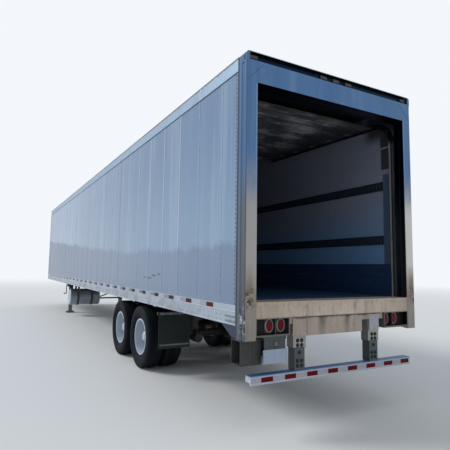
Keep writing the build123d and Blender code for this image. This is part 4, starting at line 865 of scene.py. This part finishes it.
leaves.lay(leaves.patches(0.55, 0.66, 15, 8, (0.3, 1, 1)) * 0.8, (0.13, 0.055, 0.03))
leaves.wear(leaves.cloud(12), 0.45, 0.75)
leaves.relief(abs(leaves.z % 0.016 - 0.008).ramp(0.0062, 0.0076) * -1 + 1, 0.0012)
leaves.on("leaf_springs")
axle_places, spring_line = (3.41, 4.655), 0.54
clamp_nut = turned([(0.0155, -0.001), (0.0155, 0.015), (0.0135, 0.018)], 6)
forms = []
for axle in axle_places:
    for hand in (1, -1):
        for x in (-0.062, 0.062):
            for y in (-0.05, 0.05):
                forms += stamp(clamp_nut, [(rear + axle + x, hand * spring_line + y, 0.662)], (0, 0, 1))
assemble("clamp_nuts", forms, bolt, False, "tandem")

# Tank. A painted steel cylinder across the trailer in two strap hangers, its ends pressed and
# seam-welded. It is dusty all over, with a lighter end on the road side.
tank = mottled("tank_paint", (0.2, 0.25, 0.31), (0.33, 0.385, 0.45), (2.5, 6, (1, 0.3, 1)), (9,), 0.28, 0.6,
               Metallic=0.35, Coat_Weight=0.2, Coat_Roughness=0.2)
tank.lay(tank.y.ramp(1.096, 1.0985), (0.44, 0.5, 0.58))
tank.lay(tank.patches(0.5, 0.72, 7, 8) * 0.5, (0.17, 0.155, 0.14))
hoop = abs(abs(tank.y - 0.615) - 0.44).ramp(0.006, 0.002)
tank.relief(hoop, 0.003)
tank.on("fuel_tank", "air_tank")
cap = turned([(0.043, -0.002), (0.045, 0.0), (0.045, 0.02), (0.04, 0.026), (0.012, 0.028)], 28)
tank_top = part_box("fuel_tank")[1][2]
forms = stamp(cap, [(3.723, 1.01, tank_top - 0.0003)], (0, 0, 1))
assemble("filler_cap", forms, grease)

# Mud flaps. Ribbed black rubber sheets on the tandem's rear arm, each clamped by a bolted steel bar,
# with a second bar near the bottom to keep it straight.
flap = mottled("flap_rubber", (0.008, 0.012, 0.011), (0.026, 0.034, 0.031), (4, 7), (14,), 0.5, 0.8,
               Specular_IOR_Level=0.25)
flap.lay((flap.z + flap.cloud(6, 5) * 0.25).ramp(0.7, 0.42) * 0.4, (0.07, 0.065, 0.06))
flap.relief(abs(flap.y % 0.03 - 0.015).ramp(0.011, 0.006), 0.0015)
flap.on("mud_flaps")
flap_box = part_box("mud_flaps")
flap_face, flap_top = flap_box[0][0], flap_box[1][2]
forms, bolts = [], []
for hand in (1, -1):
    near, far = sorted((hand * 0.7, hand * 1.21))
    forms += slab((flap_face - 0.004, near, flap_top - 0.042), (flap_face + 0.0002, far, flap_top - 0.004))
    forms += slab((flap_face - 0.003, near + 0.01, 0.47), (flap_face + 0.0002, far - 0.01, 0.495))
    bolts += [(flap_face - 0.004, y, flap_top - 0.023) for y in np.linspace(near + 0.05, far - 0.05, 4)]
bars = mottled("flap_bars", (0.09, 0.1, 0.11), (0.24, 0.27, 0.29), (12,), (20,), 0.45, 0.7, Metallic=0.5)
soften(assemble("flap_bars", forms, bars, False, "tandem"), 0.0008)
assemble("flap_bolts", stamp(hex_bolt, bolts, (-1, 0, 0)), bolt, body="tandem")

# Tyres. Worn radial highway tyres with four round grooves, shoulder notches and moulded rings on
# blank sidewalls, dusty in patches. They run in pairs on white steel discs, held by ten nuts.
rubber = mottled("tyre_rubber", (0.003, 0.005, 0.009), (0.009, 0.012, 0.017), (6, 6), (16,), 0.55, 0.85,
                 Specular_IOR_Level=0.12)
rubber.lay(rubber.patches(0.5, 0.75, 5, 8) * 0.22, (0.04, 0.04, 0.04))
rubber.relief(rubber.cloud(90, 3), 0.0004)
tyre_radius, bead_radius = 0.51, 0.2846


def tyre_carcass(centre_y, around=320):
    """A tyre as a closed surface of two angles. The section runs from bead to bead, with
    radius r(s) and offset y(s); grooves cut r by 12 mm, and notches cut the shoulders by
    6 mm wherever cos(80 a) is above 0.1. x = r cos a, z = r sin a."""
    side = np.array([(0.0, 0.091), (0.006, 0.096), (0.026, 0.0945), (0.04, 0.105), (0.06, 0.118),
                     (0.075, 0.1265), (0.078, 0.1285), (0.086, 0.1285), (0.089, 0.131), (0.115, 0.1375),
                     (0.14, 0.1378), (0.165, 0.135), (0.17, 0.1362), (0.176, 0.1358), (0.181, 0.1325),
                     (0.2, 0.127), (0.2085, 0.1245), (0.217, 0.119)])
    tread = []
    for start, end in ((0.07, 0.0635), (0.028, 0.0215)):
        tread += [(0.0, start + 0.006), (0.012, start), (0.012, end), (0.0, end - 0.006)]
    half_tread = np.array([(0.0, 0.106)] + tread)
    radius = np.concatenate([bead_radius + side[:, 0], tyre_radius - 0.0012 - half_tread[:, 0]])
    radius[len(side):] -= (half_tread[:, 1] / 0.106) ** 2 * 0.003
    offset = np.concatenate([side[:, 1], half_tread[:, 1]])
    radius = np.concatenate([radius, radius[::-1]])
    offset = np.concatenate([offset, -offset[::-1]])
    angle = np.arange(around) * 2 * np.pi / around
    notch = np.clip((np.cos(80 * angle) - 0.1) * 3, 0, 1)
    edge = np.exp(-((radius - tyre_radius + 0.012) / 0.012) ** 2) * (np.abs(offset) > 0.1)
    reach = radius[:, None] - 0.006 * notch * edge[:, None]
    width = offset[:, None] * (1 - 0.02 * notch * edge[:, None])
    points = np.stack([reach * np.cos(angle), centre_y + width + reach * 0, reach * np.sin(angle)], 2)
    return points.reshape(-1, 3), woven(len(radius), around, True)


# The white discs are given the blue of their shade.
disc = mottled("wheel_white", (0.58, 0.68, 0.82), (0.72, 0.8, 0.92), (5, 6), (12,), 0.3, 0.6,
               Coat_Weight=0.2, Coat_Roughness=0.25)
disc.lay(disc.patches(0.52, 0.7, 9, 8, rough=0.7) * 0.32, (0.34, 0.33, 0.35))
# Painted shade: the inner discs nearly black behind the outer ones, and the outer rims darker grey.
disc.lay(abs(disc.y).ramp(0.955, 0.93) * 0.85, (0.07, 0.06, 0.055))
disc.lay(abs(disc.y).ramp(1.03, 1.06) * 0.6, (0.3, 0.34, 0.38))
nut = mottled("wheel_nuts", (0.16, 0.12, 0.1), (0.42, 0.42, 0.43), (30, 6), (30,), 0.35, 0.6, Metallic=0.7)
nut_form = turned([(0.0205, -0.001), (0.0205, 0.004), (0.0175, 0.006), (0.0175, 0.022), (0.014, 0.025),
                   (0.0085, 0.025), (0.0085, 0.034), (0.006, 0.036)], 6)
nut_circle, nut_count = 0.143, 10
angle = np.arange(nut_count) * 2 * np.pi / nut_count
ring = nut_circle * np.stack([np.cos(angle), 0 * angle, np.sin(angle)], 1)
for end, axle in zip(("rear", "front"), axle_places):
    for hand, word in ((1, "left"), (-1, "right")):
        corner = end + "_" + word
        hub = np.array((rear + axle, 0, tyre_radius))
        forms = []
        for centre in (1.155, 0.825):
            points, quads = tyre_carcass(hand * centre)
            forms.append((points + hub, quads))
        body = corner + "_wheels"
        tyres = assemble("treaded_tyres_" + corner, forms, rubber, body=body, weld=False)
        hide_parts("tyres_" + end + "_" + word)
        disc.on("wheels_" + corner)
        forms = stamp(nut_form, hub + ring + (0, hand * 1.002, 0), (0, hand, 0))
        assemble("wheel_nuts_" + corner, forms, nut, False, body)

# Stage. A plain pale floor that fades into the backdrop, one soft high key light from the front of
# the road side, and a pale sky that gives the rest of the light.
floor_mesh = bpy.data.meshes.new("studio_floor")
floor_mesh.from_pydata([(-90, -90, 0), (90, -90, 0), (90, 90, 0), (-90, 90, 0)], [], [(0, 1, 2, 3)])
studio_floor = put("studio_floor", floor_mesh)
ground = Finish("studio_floor", Roughness=0.85, Base_Color=(0.74, 0.74, 0.735, 1))
backdrop = (0.9, 0.93, 0.97, 1)
shown_to = ("Is Camera Ray", "Is Glossy Ray", "Is Transmission Ray")
away = ground.node("ShaderNodeVectorMath", {"operation": "LENGTH"}, {0: ground.place}, "Value")
seen = sum(ground.node("ShaderNodeLightPath", output=ray) for ray in shown_to)
fade = away.ramp(14, 48) * seen
glow = ground.node("ShaderNodeEmission", {}, {"Color": backdrop, "Strength": 1.0})
near = Dye(ground, ground.shader.outputs[0])
ground.show(ground.node("ShaderNodeMixShader", {}, {0: fade, 1: near, 2: glow}), "Material Output")
floor_mesh.materials.append(ground.material)

world = bpy.data.worlds.new("studio_sky")
bpy.context.scene.world = world
world.use_nodes = True
sky = Nodes(world.node_tree)
seen = sum(sky.node("ShaderNodeLightPath", output=ray) for ray in shown_to)
light = sky.tree.nodes["Background"]
light.inputs["Color"].default_value = (0.86, 0.93, 1.0, 1)
light.inputs["Strength"].default_value = 0.62
plain = sky.node("ShaderNodeBackground", {}, {"Color": backdrop})
lit = Dye(sky, light.outputs[0])
sky.show(sky.node("ShaderNodeMixShader", {}, {0: seen, 1: lit, 2: plain}), "World Output")

key = bpy.data.lights.new("key_light", "SUN")
key.energy = 1.5
key.angle = 0.35
shine = np.array((-0.45, -0.62, -0.64))
back = -shine / np.linalg.norm(shine)
side = np.cross((0, 0, 1), back)
side = side / np.linalg.norm(side)
turn = np.stack([side, np.cross(back, side), back], 1)
put("key_light", key).matrix_world = Matrix(turn.tolist()).to_4x4()

# Camera. It stands at eye height, 1.7 m, behind the trailer and to the road side, at the
# photograph's place, with its tilt and lens.
yaw, pitch, roll = 0.5043, 0.0988, 0.015
ahead = np.array([np.cos(yaw), -np.sin(yaw), 0.0])
right = np.array([-np.sin(yaw), -np.cos(yaw), 0.0])
upward = np.array([0, 0, 1.0])
sight = np.cos(pitch) * ahead + np.sin(pitch) * upward
upward = -np.sin(pitch) * ahead + np.cos(pitch) * upward
across = np.cos(roll) * right + np.sin(roll) * upward
upward = -np.sin(roll) * right + np.cos(roll) * upward
lens_data = bpy.data.cameras.new("camera")
lens_data.lens = 34.08
lens_data.sensor_width = 36
lens_data.clip_end = 500
camera = put("camera", lens_data)
placed = Matrix(np.stack([across, upward, -sight], 1).tolist()).to_4x4()
placed.translation = (-11.784, 3.5796, 1.696)
camera.matrix_world = placed
bpy.context.scene.camera = camera
bpy.context.scene.view_settings.view_transform = "Standard"
